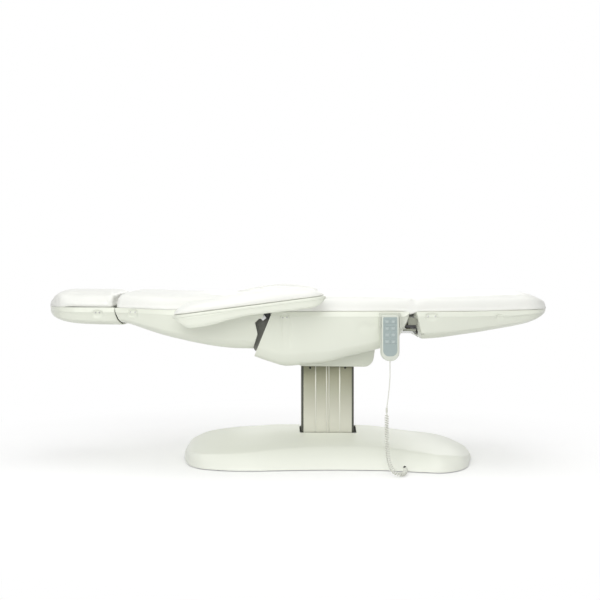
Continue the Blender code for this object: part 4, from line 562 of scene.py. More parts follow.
def surface(name, colour, roughness, metallic=0.0, shade=0.93, tone_scale=6.0, amount=0.6,
            grain=0.0, grain_scale=600.0, bump=0.1, reach=0.0002, rough_drift=0.06, brushed=None,
            worn=None, rising=None, **constants):
    """A finish with slow tone drift, grain or brushing, roughness that varies, and if asked, painted shade
    that darkens it towards the top.
    """
    found = bpy.data.materials.get(name)
    if found:
        return found
    made, tree, shader = node_tree(name)
    place = tree.nodes.new("ShaderNodeTexCoord").outputs["Object"]
    tone = placed(tree, tone_group(), {"Vector": place, "Scale": tone_scale, "Amount": amount,
                                       "Color": (*colour[:3], 1.0), "Shade": shaded(colour, shade)})
    colour_out = tone.outputs["Color"]
    if worn:
        wear = placed(tree, wear_group(), {"Vector": place, "Color": colour_out, "Worn": (*worn, 1.0)})
        colour_out = wear.outputs["Color"]
    # Painted shade and reflection: the colour darkens from the foot to the top, standing in for the seat's
    # shadow and the dark underside it reflects.
    if rising:
        top_shade_tint, top, foot = rising
        height = linked(tree, "ShaderNodeSeparateXYZ", {0: place})
        share = linked(tree, "ShaderNodeMapRange", {"Value": height.outputs["Z"], "From Min": foot,
                                                    "From Max": top}, interpolation_type="SMOOTHSTEP")
        top_shaded_colour = linked(tree, "ShaderNodeMix", {"Factor": share.outputs["Result"]}, data_type="RGBA",
                        blend_type="MULTIPLY")
        tree.links.new(colour_out, top_shaded_colour.inputs[6])
        top_shaded_colour.inputs[7].default_value = (*top_shade_tint, 1.0)
        colour_out = top_shaded_colour.outputs[2]
    tree.links.new(colour_out, shader.inputs["Base Color"])
    shader.inputs["Metallic"].default_value = metallic
    for key, value in constants.items():
        shader.inputs[key.replace("_", " ")].default_value = value
    if brushed:
        strokes = placed(tree, brush_group(), {"Vector": place, "Stretch": brushed,
                                               "Low": roughness - rough_drift,
                                               "High": roughness + rough_drift})
        tree.links.new(strokes.outputs["Roughness"], shader.inputs["Roughness"])
        height = strokes.outputs["Height"]
    else:
        rough = linked(tree, "ShaderNodeMapRange", {
            "Value": tone.outputs["Mask"], "From Max": max(amount, TINY),
            "To Min": roughness - 0.5 * rough_drift, "To Max": roughness + 0.5 * rough_drift})
        tree.links.new(rough.outputs["Result"], shader.inputs["Roughness"])
        pebbles = placed(tree, pebble_group(), {"Vector": place, "Scale": grain_scale, "Crease": grain})
        height = pebbles.outputs["Height"]
    raised = linked(tree, "ShaderNodeBump", {"Strength": bump, "Distance": reach, "Height": height})
    tree.links.new(raised.outputs["Normal"], shader.inputs["Normal"])
    return made


def plywood_finish():
    """Birch plywood: long grain on the faces, plies on the edges."""
    found = bpy.data.materials.get("birch_ply")
    if found:
        return found
    made, tree, shader = node_tree("birch_ply")
    place = tree.nodes.new("ShaderNodeTexCoord").outputs["Object"]
    stretched = linked(tree, "ShaderNodeVectorMath", {0: place, 1: (3.0, 30.0, 650.0)}, operation="MULTIPLY")
    grain = linked(tree, "ShaderNodeTexNoise", {"Vector": stretched.outputs["Vector"], "Scale": 2.0,
                                                "Detail": 6.0, "Distortion": 0.4})
    ramp = linked(tree, "ShaderNodeMix", {"Factor": grain.outputs["Fac"]}, data_type="RGBA")
    ramp.inputs[6].default_value = (0.70, 0.54, 0.36, 1.0)
    ramp.inputs[7].default_value = (0.50, 0.35, 0.20, 1.0)
    tree.links.new(ramp.outputs[2], shader.inputs["Base Color"])
    shader.inputs["Roughness"].default_value = 0.6
    raised = linked(tree, "ShaderNodeBump", {"Strength": 0.1, "Distance": 0.0002,
                                             "Height": grain.outputs["Fac"]})
    tree.links.new(raised.outputs["Normal"], shader.inputs["Normal"])
    return made


# Finishes: material name, colour or the name of a colour property, roughness and the rest
FINISHES = {
    "upholstery": ("ivory_leather", "upholstery", 0.42, dict(
        shade=0.965, tone_scale=5.0, grain=0.7, grain_scale=700.0, bump=0.16, reach=0.00025,
        Coat_Weight=0.1, Coat_Roughness=0.25)),
    "moulding": ("ivory_moulding", "moulding", 0.33, dict(
        shade=0.975, tone_scale=3.0, grain=0.25, grain_scale=420.0, bump=0.05, Coat_Weight=0.15,
        Coat_Roughness=0.2)),
    # Same moulding as the others, painted lighter for the floor cover: painted light from the lamps and the
    # floor's bounce.
    "floor_moulding": ("ivory_floor_moulding", "floor_cover", 0.36, dict(
        shade=0.975, tone_scale=3.0, grain=0.25, grain_scale=420.0, bump=0.05, Coat_Weight=0.12,
        Coat_Roughness=0.2)),
    # The column's colour is painted darker towards its top: painted shade of the seat above and painted
    # reflection of its dark underside.
    "column": ("brushed_profile", "column", 0.42, dict(
        metallic=0.6, shade=0.94, tone_scale=10.0,
        rising=((0.36, 0.36, 0.29), COLUMN_TOP_Z, COLUMN_FOOT_Z + 0.05),
        brushed=(700.0, 700.0, 5.0), bump=0.05, reach=0.0001, rough_drift=0.07)),
    # Near-black finish for the column's rounded corners: painted shade and painted dark reflection on the
    # metal.
    "column_corner_shade": ("column_corner_strip", (0.085, 0.087, 0.07), 0.45, dict(
        metallic=0.3, shade=0.9, brushed=(700.0, 700.0, 5.0), bump=0.05, reach=0.0001)),
    # Darker, less metallic copy of the column's metal for the groove floors: painted shade in the grooves.
    "groove": ("groove_floor", (0.66, 0.66, 0.58), 0.35, dict(metallic=0.4, shade=0.92, bump=0.05)),
    "grey_paint": ("grey_powder_coat", (0.42, 0.43, 0.41), 0.48, dict(
        metallic=0.2, shade=0.9, tone_scale=18.0, grain=0.7, grain_scale=500.0, bump=0.12,
        worn=(0.58, 0.58, 0.57))),
    "black_paint": ("black_powder_coat", (0.022, 0.022, 0.022), 0.5, dict(
        shade=0.7, tone_scale=18.0, grain=0.7, grain_scale=500.0, bump=0.12, worn=(0.12, 0.12, 0.12))),
    "zinc": ("zinc_plate", (0.62, 0.63, 0.62), 0.32, dict(
        metallic=1.0, shade=0.8, tone_scale=60.0, grain=0.3, grain_scale=300.0, bump=0.06)),
    "drive": ("black_drive_moulding", (0.035, 0.035, 0.037), 0.5, dict(
        shade=0.8, grain=0.9, grain_scale=800.0, bump=0.2)),
    "rod": ("polished_rod", (0.74, 0.75, 0.75), 0.14, dict(
        metallic=1.0, shade=0.95, rough_drift=0.05, brushed=(60.0, 900.0, 900.0), bump=0.02,
        reach=0.00005)),
    "rubber": ("black_rubber", (0.035, 0.035, 0.035), 0.75, dict(
        shade=0.8, grain=0.6, grain_scale=900.0, bump=0.2)),
    "control": ("control_body", "control", 0.4, dict(shade=0.97, grain=0.8, grain_scale=900.0, bump=0.08)),
    "label": ("control_face_film", "label", 0.42, dict(
        shade=0.93, tone_scale=30.0, grain=0.3, grain_scale=1500.0, bump=0.05)),
    "key": ("key_membrane", (0.42, 0.49, 0.48), 0.45, dict(shade=0.95, grain=0.2, bump=0.04)),
    "icon": ("pale_print", (0.57, 0.62, 0.6), 0.55, dict(shade=0.95, bump=0.02)),
    "cord": ("ivory_cord_sheath", (0.76, 0.77, 0.7), 0.42, dict(
        shade=0.93, tone_scale=40.0, grain=0.3, grain_scale=1200.0, bump=0.06)),
    "collar": ("cord_collar_moulding", (0.7, 0.71, 0.62), 0.5, dict(shade=0.8, grain=0.5, bump=0.1)),
    "screw": ("screw_steel", (0.55, 0.55, 0.53), 0.3, dict(
        metallic=1.0, shade=0.85, tone_scale=90.0, bump=0.03)),
    "black_screw": ("black_screw_head", (0.03, 0.03, 0.028), 0.35, dict(metallic=0.4, shade=0.8, bump=0.03)),
    "olive": ("olive_hinge_coat", (0.3, 0.31, 0.25), 0.6, dict(
        shade=0.85, tone_scale=30.0, grain=0.6, grain_scale=500.0, bump=0.1)),
    "liner": ("dark_liner", (0.26, 0.265, 0.235), 0.6, dict(
        shade=0.7, tone_scale=60.0, grain=0.8, grain_scale=400.0, bump=0.2)),
    "clip": ("holder_moulding", (0.66, 0.68, 0.6), 0.45, dict(
        shade=0.93, grain=0.6, grain_scale=900.0, bump=0.08)),
}


def finish(name):
    """The named finish of this bed, made once."""
    if name == "plywood":
        return plywood_finish()
    label, colour, roughness, values = FINISHES[name]
    if isinstance(colour, str):
        colour = getattr(colours(), colour)
    return surface(label, colour, roughness, **values)


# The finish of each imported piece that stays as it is
KEPT_FINISHES = {
    "base_frame": "black_paint", "column_glide": "drive", "column_inner": "column",
    "lift_motor": "drive", "lift_tube": "zinc", "control_box": "drive", "lift_rod": "rod",
    "head_frame": "grey_paint", "tilt_actuator": "drive", "tilt_rod": "rod", "seat_frame": "grey_paint",
    "seat_board": "plywood", "back_actuator": "drive", "leg_actuator": "drive", "back_rod": "rod",
    "leg_rod": "rod", "back_hinge_shaft": "zinc", "leg_hinge_shaft": "zinc", "back_frame": "grey_paint",
    "back_board": "plywood", "headrest_bracket": "grey_paint", "leg_frame": "grey_paint",
    "leg_board": "plywood", "armrest_bracket_near": "grey_paint", "armrest_bracket_far": "grey_paint",
    "armrest_link_near": "grey_paint", "armrest_link_far": "grey_paint", "levelling_foot_1": "rubber",
    "levelling_foot_2": "rubber", "levelling_foot_3": "rubber", "levelling_foot_4": "rubber",
    "handset_rear": "control", "handset_holder": "clip",
}


def seen_directly(tree):
    """One where the camera sees a surface, or a glossy or clear surface shows it."""
    paths = tree.nodes.new("ShaderNodeLightPath").outputs
    both = linked(tree, "ShaderNodeMath", {0: paths["Is Camera Ray"], 1: paths["Is Glossy Ray"]},
                  operation="MAXIMUM")
    return linked(tree, "ShaderNodeMath", {0: both.outputs["Value"], 1: paths["Is Transmission Ray"]},
                  operation="MAXIMUM").outputs["Value"]


# The camera at the photograph's place; lens and sensor in millimetres
CAMERA_PLACE = (-0.009, -3.9, 0.725)
CAMERA_LENS = 60.4
CAMERA_SENSOR = 36.0
CAMERA_SHIFT_X = 0.0167
CAMERA_SHIFT_Y = -0.05
# The floor turns white between two distances from the bed's middle
FLOOR_SIZE = 30.0
FLOOR_FADE_START = 0.70
FLOOR_FADE_END = 1.7
FLOOR_TONE = (0.88, 0.88, 0.88, 1.0)
FLOOR_GLOW = 0.24
WHITE = (1.0, 1.0, 1.0, 1.0)
WORLD_LEVEL = 0.44
# Lamps: name, place, power in watts, size and the place each one faces
LAMPS = (
    ("key_lamp", (-0.5, -3.0, 2.0), 45.0, 2.2, (-0.05, 0.0, 0.30)),
    ("low_lamp", (-0.9, -2.9, 0.5), 6.0, 1.4, (0.0, 0.0, 0.20)),
    ("top_lamp", (0.3, -0.3, 3.3), 32.0, 2.6, (0.1, 0.0, 0.5)),
    ("rear_lamp", (0.5, 3.2, 1.9), 18.0, 2.2, (0.0, 0.0, 0.5)),
)


class BED_OT_stage(bpy.types.Operator):
    """Camera at the photograph's place, pale floor and soft studio light"""

    bl_idname = "bed.stage"
    bl_label = "Stage"

    def execute(self, context):
        scene = context.scene
        scene.view_settings.view_transform = "Standard"
        deselect()
        bpy.ops.object.camera_add(location=CAMERA_PLACE, rotation=(0.5 * math.pi, 0.0, 0.0))
        camera = context.object
        camera.data.lens = CAMERA_LENS
        camera.data.sensor_width = CAMERA_SENSOR
        camera.data.shift_x = CAMERA_SHIFT_X
        camera.data.shift_y = CAMERA_SHIFT_Y
        scene.camera = camera
        deselect()
        bpy.ops.mesh.primitive_plane_add(size=FLOOR_SIZE, location=(0.0, 0.0, 0.0))
        floor = added("floor")
        made, tree, shader = node_tree("studio_floor")
        shader.inputs["Base Color"].default_value = FLOOR_TONE
        shader.inputs["Roughness"].default_value = 0.9
        place = tree.nodes.new("ShaderNodeTexCoord").outputs["Object"]
        away = linked(tree, "ShaderNodeVectorMath", {0: place}, operation="LENGTH")
        fade = linked(tree, "ShaderNodeMapRange",
                      {"Value": away.outputs["Value"], "From Min": FLOOR_FADE_START,
                       "From Max": FLOOR_FADE_END},
                      interpolation_type="SMOOTHSTEP")
        seen = seen_directly(tree)
        share = linked(tree, "ShaderNodeMath", {0: fade.outputs["Result"], 1: seen}, operation="MULTIPLY")
        near = linked(tree, "ShaderNodeMath", {0: seen, 1: FLOOR_GLOW}, operation="MULTIPLY")
        glow = linked(tree, "ShaderNodeEmission", {"Color": WHITE, "Strength": near.outputs["Value"]})
        lit = tree.nodes.new("ShaderNodeAddShader")
        tree.links.new(shader.outputs[0], lit.inputs[0])
        tree.links.new(glow.outputs[0], lit.inputs[1])
        bright = linked(tree, "ShaderNodeEmission", {"Color": WHITE, "Strength": 1.0})
        shown = tree.nodes.new("ShaderNodeMixShader")
        tree.links.new(share.outputs["Value"], shown.inputs[0])
        tree.links.new(lit.outputs[0], shown.inputs[1])
        tree.links.new(bright.outputs[0], shown.inputs[2])
        tree.links.new(shown.outputs[0], tree.nodes["Material Output"].inputs["Surface"])
        floor.data.materials.append(made)
        world = bpy.data.worlds.new("studio")
        scene.world = world
        world.use_nodes = True
        nodes, links = world.node_tree.nodes, world.node_tree.links
        plain = nodes["Background"]
        plain.inputs["Color"].default_value = WHITE
        plain.inputs["Strength"].default_value = WORLD_LEVEL
        white = nodes.new("ShaderNodeBackground")
        white.inputs["Color"].default_value = WHITE
        choice = nodes.new("ShaderNodeMixShader")
        links.new(seen_directly(world.node_tree), choice.inputs[0])
        links.new(plain.outputs[0], choice.inputs[1])
        links.new(white.outputs[0], choice.inputs[2])
        links.new(choice.outputs[0], nodes["World Output"].inputs["Surface"])
        for name, place, energy, size, aim in LAMPS:
            deselect()
            bpy.ops.object.light_add(type="AREA", location=place)
            lamp = context.object
            lamp.name = name
            lamp.data.energy = energy
            lamp.data.size = size
            lamp.rotation_mode = "QUATERNION"
            lamp.rotation_quaternion = (Vector(aim) - Vector(place)).to_track_quat("-Z", "Y")
        return {"FINISHED"}


# The cord's route: the straight lead, then the axis of the curly part
LEAD_ROUTE = (
    (0.34625, -0.3240, 0.4017), (0.34625, -0.3240, 0.3850), (0.3462, -0.3240, 0.3550),
    (0.3445, -0.3242, 0.3150), (0.3400, -0.3246, 0.2750), (0.3360, -0.3250, 0.2450),
    (0.3345, -0.3250, 0.2303), (0.3345, -0.3250, 0.2233),
)
COIL_ROUTE = (
    (0.3345, -0.3250, 0.2230), (0.3345, -0.3252, 0.2150), (0.3341, -0.3270, 0.1900),
    (0.3341, -0.3310, 0.1572), (0.3350, -0.3430, 0.0918), (0.3385, -0.3600, 0.0560),
    (0.3470, -0.3770, 0.0300), (0.3600, -0.3870, 0.0155), (0.3760, -0.3860, 0.0112),
    (0.3895, -0.3720, 0.0112), (0.3975, -0.3480, 0.0125), (0.4015, -0.3230, 0.0140),
    (0.4038, -0.3030, 0.0145), (0.4040, -0.2943, 0.0145),
)
COIL_RADIUS = 0.0061
CURL_POINTS = 16
LEAD_POINTS = 32
ROUTE_STEPS = 24


def smooth_route(points, count):
    """Evenly spaced places on a smooth curve through given points."""
    points = [Vector(point) for point in points]
    fine = []
    for number in range(len(points) - 1):
        before = points[max(number - 1, 0)]
        start, end = points[number], points[number + 1]
        after = points[min(number + 2, len(points) - 1)]
        for step in range(ROUTE_STEPS):
            t = step / ROUTE_STEPS
            fine.append(0.5 * ((2.0 * start) + (end - before) * t
                               + (2.0 * before - 5.0 * start + 4.0 * end - after) * t * t
                               + (3.0 * start - before - 3.0 * end + after) * t * t * t))
    fine.append(points[-1])
    reach = [0.0]
    for first, second in zip(fine, fine[1:]):
        reach.append(reach[-1] + (second - first).length)
    places = []
    index = 0
    for step in range(count):
        target = reach[-1] * step / (count - 1.0)
        while index < len(reach) - 2 and reach[index + 1] < target:
            index += 1
        share = (target - reach[index]) / max(reach[index + 1] - reach[index], TINY)
        places.append(fine[index].lerp(fine[index + 1], min(share, 1.0)))
    return places, reach[-1]


def curl_points():
    """The curly cord's centreline: a helix round its axis with straight ends."""
    count = sizes().curls * CURL_POINTS + 1
    axis, length = smooth_route(COIL_ROUTE, count)
    lead = 3.0 * sizes().cord_radius
    side = Vector((0.0, 1.0, 0.0))
    points = []
    for number, centre in enumerate(axis):
        ahead = axis[min(number + 1, count - 1)] - axis[max(number - 1, 0)]
        ahead.normalize()
        side = (side - ahead * side.dot(ahead)).normalized()
        other = ahead.cross(side)
        run = length * number / (count - 1.0)
        ease = min(max((min(run, length - run) - lead) / (2.0 * COIL_RADIUS), 0.0), 1.0)
        radius = COIL_RADIUS * ease * ease * (3.0 - 2.0 * ease)
        angle = 2.0 * math.pi * number / CURL_POINTS
        points.append(centre + (side * math.cos(angle) + other * math.sin(angle)) * radius)
    return points


def tube(name, points, radius, sides=12):
    """A round mesh tube along a path, closed at both ends."""
    deselect()
    bpy.ops.curve.primitive_bezier_curve_add()
    item = bpy.context.object
    item.location = (0.0, 0.0, 0.0)
    curve = item.data
    curve.splines.clear()
    spline = curve.splines.new("POLY")
    spline.points.add(len(points) - 1)
    for point, place in zip(spline.points, points):
        point.co = (*place, 1.0)
    curve.dimensions = "3D"
    curve.bevel_depth = radius
    curve.bevel_resolution = max((sides - 4) // 2, 0)
    curve.use_fill_caps = True
    activate(item)
    bpy.ops.object.convert(target="MESH")
    item = bpy.context.object
    item.name = name
    item.data.name = name
    return cleaned(settle(item), 0.00001)


class BED_OT_cords(bpy.types.Operator):
    """The hand control's lead, its dark collar, the curly cord and its gland"""

    bl_idname = "bed.cords"
    bl_label = "Cords"

    def execute(self, context):
        radius = sizes().cord_radius
        lead_path, lead_length = smooth_route(LEAD_ROUTE, LEAD_POINTS)
        lead = tube("hand_lead", lead_path, radius, 16)
        dressed(lead, finish("cord"), None, ("cord_lead",), 60.0)
        curls = curl_points()
        curly = tube("curly_lead", curls, radius, 12)
        dressed(curly, finish("cord"), None, ("curly_cord",), 60.0)
        low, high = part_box("cord_gland")
        gland_x, gland_z = 0.5 * (low[0] + high[0]), 0.5 * (low[2] + high[2])
        half = 0.5 * (high[0] - low[0])
        gland = peg("cord_strain_relief", (gland_x, high[1], gland_z), (gland_x, low[1], gland_z), half, 40)
        for vert in gland.data.vertices:
            share = (vert.co.y - low[1]) / (high[1] - low[1])
            lean = mix(0.52, 1.0, min(max(share * 1.6, 0.0), 1.0))
            vert.co.x = gland_x + (vert.co.x - gland_x) * lean
            vert.co.z = gland_z + (vert.co.z - gland_z) * lean
        bevelled(gland, 0.0007, 3, 30.0)
        dressed(gland, finish("rubber"), "base", ("cord_gland",))
        top, bottom = Vector(LEAD_ROUTE[-2]), Vector(COIL_ROUTE[0])
        collar = peg("cord_collar", top + Vector((0.0, 0.0, 0.0055)), bottom + Vector((0.0, 0.0, -0.0045)),
                     radius * 1.85, 32, 0.0012, 3)
        dressed(collar, finish("collar"), "lift")
        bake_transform(lead)
        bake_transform(curly)
        return {"FINISHED"}


HEAD_WIDTH_SHARES = (
    (0.000, 0.130), (0.015, 0.240), (0.045, 0.410), (0.090, 0.600), (0.170, 0.820),
    (0.300, 0.965), (1.0, 1.0),
)


def head_half_at(x):
    """The headrest's half-width at a place along it."""
    right = HEAD_AXIS[0] - HEAD_END_RADIUS
    return HEAD_HALF * between(HEAD_WIDTH_SHARES, (x - HEAD_TIP_X) / (right - HEAD_TIP_X), 1)


def bed_half_at(x):
    """The half-width of the back, seat and leg cushions."""
    taper_start, taper_end = -0.645, ARM_REAR[0]
    if x < taper_end:
        share = max((x - taper_start) / (taper_end - taper_start), 0.0)
        return mix(BACK_HEAD_HALF, HALF_WIDTH, 1.0 - (1.0 - share) ** 2)
    run = min(max(x - (LEG_TIP_X - LEG_CORNER), 0.0), LEG_CORNER)
    return HALF_WIDTH - LEG_CORNER + math.sqrt(LEG_CORNER ** 2 - run ** 2)


def tip_share(x):
    """How full the upholstery is: it thins out at both tips of the bed."""
    head = min(max((x - HEAD_TIP_X) / 0.062, 0.0), 1.0)
    leg = min(max((LEG_TIP_X - x) / 0.105, 0.0), 1.0)
    return min(mix(0.16, 1.0, head ** 0.62),
               mix(0.36, 1.0, math.sqrt(1.0 - (1.0 - leg) ** 2)))


def head_arc(radius):
    """A face that stays square to the headrest's axis."""
    return lambda z: HEAD_AXIS[0] - math.sqrt(radius ** 2 - (z - HEAD_AXIS[1]) ** 2)


def leaning(x, degrees):
    """A flat end face that leans with height."""
    slope = math.tan(math.radians(degrees))
    return lambda z: x + slope * (z - SEAM_Z)


# Half of a cushion's cross-section, from under its side to its crown: share of
# the half-width, corner share and share of the side's height
PAD_PROFILE = (
    (0.0, 0.0, 0.0), (0.5, 0.0, 0.0), (0.975, 0.0, 0.0), (1.0, 0.10, 0.05), (1.0, 0.0, 0.22),
    (1.0, 0.0, 0.55), (1.0, 0.10, 0.78), (1.0, 0.38, 0.92), (1.0, 0.85, 0.985), (0.92, 1.0, 1.0),
    (0.5, 1.0, 1.0), (0.0, 1.0, 1.0),
)
# Rings near a cushion's end: how far the ring lies from the end, and how much
# of the corner radius is taken off there, both as shares of that radius
END_RINGS = ((0.0, 0.80), (0.06, 0.52), (0.20, 0.25), (0.45, 0.07), (0.90, 0.0))
STUFFING_FRAMES = 20
# How far the cushions reach below the seam, and how much more at the leg hinge's fold
PAD_BELOW_SEAM = 0.0022
FOLD_DEPTH = 0.0118
FOLD_REACH = 0.0150


def pad_body(name, start, end, half_at, height_at, floor_at, middle=0.0, stations=30):
    """A crowned, closed pad between two end faces, ready to be swollen."""
    corner = sizes().pad_corner
    places = []
    left, right = start(SEAM_Z), end(SEAM_Z)
    length = right - left
    for away, pull in END_RINGS:
        places.append((away * corner / length, pull))
    inner = END_RINGS[-1][0] * corner / length
    places += [(mix(inner, 1.0 - inner, step / stations), 0.0) for step in range(1, stations)]
    places += [(1.0 - away, pull) for away, pull in places[len(END_RINGS) - 1::-1]]
    rows = []
    for place, pull in places:
        middle_x = mix(left, right, place)
        floor = floor_at(middle_x)
        side, crown = height_at(middle_x)
        radius = min(corner, 0.45 * side)
        taken = pull * radius
        half_ring = []
        for wide, rounding, tall in PAD_PROFILE:
            z = floor + 0.25 * taken + tall * (side - 1.25 * taken)
            if tall >= 1.0:
                z += crown * (1.0 - wide ** 2)
            x = mix(start(z), end(z), place)
            half = half_at(x) - taken
            half_ring.append((x, wide * half - rounding * radius * (1.0 if wide > 0.9 else 0.0), z))
        ring = [(x, middle + y, z) for x, y, z in half_ring]
        ring += [(x, middle - y, z) for x, y, z in half_ring[-2::-1]]
        rows.append(ring)
    center = Vector(rows[len(rows) // 2][0]) + Vector((0.0, 0.0, 0.02))
    return grid_skin(name, rows, center, ("start", "end"))


def swollen(item, pinned, voxel=None, swell=None, pressure=4.0, smoothing=8):
    """Even out a pad's faces and let its stuffing press the cover out.

    The places that pinned picks out stay where they are.
    """
    voxel = voxel or sizes().pad_voxel
    swell = swell or sizes().pad_swell
    apply_modifier(item, "REMESH", mode="VOXEL", voxel_size=voxel)
    apply_modifier(item, "SMOOTH", factor=0.5, iterations=smoothing)
    rest = [vert.co.copy() for vert in item.data.vertices]
    held = item.vertex_groups.new(name="held")
    held.add([vert.index for vert in item.data.vertices if pinned(vert.co)], 1.0, "REPLACE")
    activate(item)
    cloth = item.modifiers.new("stuffing", "CLOTH")
    cloth.settings.quality = 4
    cloth.settings.use_pressure = True
    cloth.settings.uniform_pressure_force = pressure
    cloth.settings.effector_weights.gravity = 0.0
    cloth.settings.vertex_group_mass = "held"
    cloth.settings.tension_stiffness = 12.0
    cloth.settings.bending_stiffness = 1.0
    cloth.collision_settings.use_self_collision = False
    scene = bpy.context.scene
    cloth.point_cache.frame_start = 1
    cloth.point_cache.frame_end = STUFFING_FRAMES
    for step in range(1, STUFFING_FRAMES + 1):
        scene.frame_set(step)
    bpy.ops.object.modifier_apply(modifier=cloth.name)
    scene.frame_set(1)
    for vert, start in zip(item.data.vertices, rest):
        moved = vert.co - start
        if moved.length > swell:
            vert.co = start + moved * (swell / moved.length)
    item.vertex_groups.clear()
    apply_modifier(item, "SMOOTH", factor=0.5, iterations=3)
    return item


class BED_OT_cushions(bpy.types.Operator):
    """The headrest, the backrest and the seat with its leg rest, stuffed"""

    bl_idname = "bed.cushions"
    bl_label = "Cushions"

    def execute(self, context):
        side, crown = sizes().pad_height, sizes().pad_crown
        swell = sizes().pad_swell

        def height_at(x):
            return tip_share(x) * side - swell, tip_share(x) * crown

        def narrower(half_at, taken):
            return lambda x: half_at(x) - taken

        def floor_at(x):
            fold = max(1.0 - ((x - LEG_HINGE[0]) / FOLD_REACH) ** 2, 0.0)
            return seam_at(x) - PAD_BELOW_SEAM - FOLD_DEPTH * fold

        def flat(z):
            return HEAD_TIP_X + 0.5 * swell + 0.004

        pads = (
            ("headrest_pad", "head", ("headrest_cushion",), flat, head_arc(HEAD_END_RADIUS + 0.5 * swell),
             head_half_at, 14),
            ("backrest_pad", "back", ("back_cushion",), head_arc(BACK_END_RADIUS - 0.5 * swell),
             leaning(BACK_HINGE[0] - 0.0235, -52.0), bed_half_at, 24),
            ("seat_and_leg_pad", None, ("seat_cushion", "leg_cushion"),
             leaning(BACK_HINGE[0] + 0.0205, 36.0), lambda z: LEG_TIP_X - 0.5 * swell, bed_half_at, 44),
        )
        for name, body, nodes, start, end, half_at, stations in pads:
            pad = pad_body(name, start, end, narrower(half_at, swell), height_at, floor_at, stations=stations)
            swollen(pad, lambda co: co.z < seam_at(co.x) + 0.004)
            if body == "back":
                carve(pad, both_sides("arm_pocket"))
            apply_modifier(pad, "SUBSURF", levels=1, render_levels=1)
            dressed(pad, finish("upholstery"), body, nodes, 60.0)
            if name == "seat_and_leg_pad":
                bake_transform(pad)
        return {"FINISHED"}


# Armrest: place along it, half-width, depth of its shell and height of its pad
ARM_SHARES = (
    (0.000, 0.27, 0.12, 0.10), (0.020, 0.52, 0.38, 0.28), (0.045, 0.74, 0.62, 0.45),
    (0.110, 0.93, 1.00, 0.66), (0.200, 0.99, 1.00, 0.73), (0.370, 1.00, 0.76, 0.84),
    (0.500, 1.00, 0.64, 0.93), (0.650, 1.00, 0.66, 1.00), (0.800, 1.00, 0.69, 0.82),
    (0.900, 0.96, 0.69, 0.60), (0.950, 0.80, 0.55, 0.44), (0.982, 0.55, 0.35, 0.26),
    (1.000, 0.27, 0.12, 0.10),
)
ARM_PAD_HEIGHT = 0.0588
ARM_SHELL_DEPTH = 0.051
ARM_STEPS = 6
# The band round an armrest's rim: how far it stands out and how far it goes down and up
ARM_BAND_REAR = 0.0030
ARM_BAND_LONGER = 0.0040
ARM_BAND_PROUD = 0.0016
ARM_BAND_DOWN = 0.0100
ARM_BAND_UP = 0.0006


def leaned(item):
    """Lean an armrest piece, built level, up from its rear tip."""
    cosine, sine = math.cos(ARM_TILT), math.sin(ARM_TILT)
    for vert in item.data.vertices:
        x, z = vert.co.x - ARM_REAR[0], vert.co.z - ARM_REAR[1]
        vert.co.x = ARM_REAR[0] + x * cosine - z * sine
        vert.co.z = ARM_REAR[1] + x * sine + z * cosine
    return item


class BED_OT_armrests(bpy.types.Operator):
    """Both armrests: a moulded shell with a stuffed pad on it"""

    bl_idname = "bed.armrests"
    bl_label = "Armrests"

    def execute(self, context):
        swell = 0.4 * sizes().pad_swell
        wall = sizes().shell_wall
        for way, name in ((-1.0, "near"), (1.0, "far")):
            rows, ring = [], []
            for step in range(ARM_STEPS * (len(ARM_SHARES) - 1) + 1):
                place, wide, deep, tall = row_at(ARM_SHARES, step / ARM_STEPS)
                x = ARM_REAR[0] + place * ARM_LENGTH
                rows.append([(px, py + way * ARM_Y, pz) for px, py, pz in shell_ring(
                    x, x, ARM_REAR[1] - 0.0004, deep * ARM_SHELL_DEPTH, wide * (ARM_HALF - 0.0003))])
                ring.append((ARM_REAR[0] - ARM_BAND_REAR + (ARM_LENGTH + ARM_BAND_LONGER) * place,
                             wide * (ARM_HALF + ARM_BAND_PROUD)))
            shell = grid_skin("arm_shell_" + name, rows,
                              (ARM_REAR[0] + 0.5 * ARM_LENGTH, way * ARM_Y, ARM_REAR[1] - 0.004),
                              ("start", "end"))
            apply_modifier(shell, "SOLIDIFY", thickness=wall * 0.8, offset=-1.0)
            leaned(bevelled(shell, 0.0009))
            hole = peg("hole", (ARM_PIVOT[0], way * 0.300, ARM_PIVOT[1]),
                       (ARM_PIVOT[0], way * 0.352, ARM_PIVOT[1]), 0.0070)
            carve(shell, [hole])
            dressed(shell, finish("moulding"), "arm_" + name, ("armrest_shell_" + name,))

            outline = [(x, way * ARM_Y - y) for x, y in ring] + [(x, way * ARM_Y + y) for x, y in ring[::-1]]
            band = raised_outline("arm_band_" + name, outline, ARM_REAR[1] - ARM_BAND_DOWN,
                                  ARM_REAR[1] + ARM_BAND_UP)
            leaned(bevelled(band, 0.0022, 3, 60.0))
            dressed(band, finish("moulding"), "arm_" + name)

            def half_at(x):
                return ARM_HALF * between(ARM_SHARES, (x - ARM_REAR[0]) / ARM_LENGTH, 1) - swell

            def height_at(x):
                height = ARM_PAD_HEIGHT * between(ARM_SHARES, (x - ARM_REAR[0]) / ARM_LENGTH, 3)
                return 0.74 * height - swell, 0.22 * height

            pad = pad_body("arm_pad_" + name, lambda z: ARM_REAR[0] + swell,
                           lambda z: ARM_REAR[0] + ARM_LENGTH - swell, half_at, height_at,
                           lambda x: ARM_REAR[1] + 0.0014, way * ARM_Y, 40)
            swollen(pad, lambda co: co.z < ARM_REAR[1] + 0.003, 0.0028, swell, 3.0, 10)
            leaned(pad)
            apply_modifier(pad, "SUBSURF", levels=1, render_levels=1)
            dressed(pad, finish("upholstery"), "arm_" + name, ("armrest_pad_" + name,), 60.0)
        return {"FINISHED"}


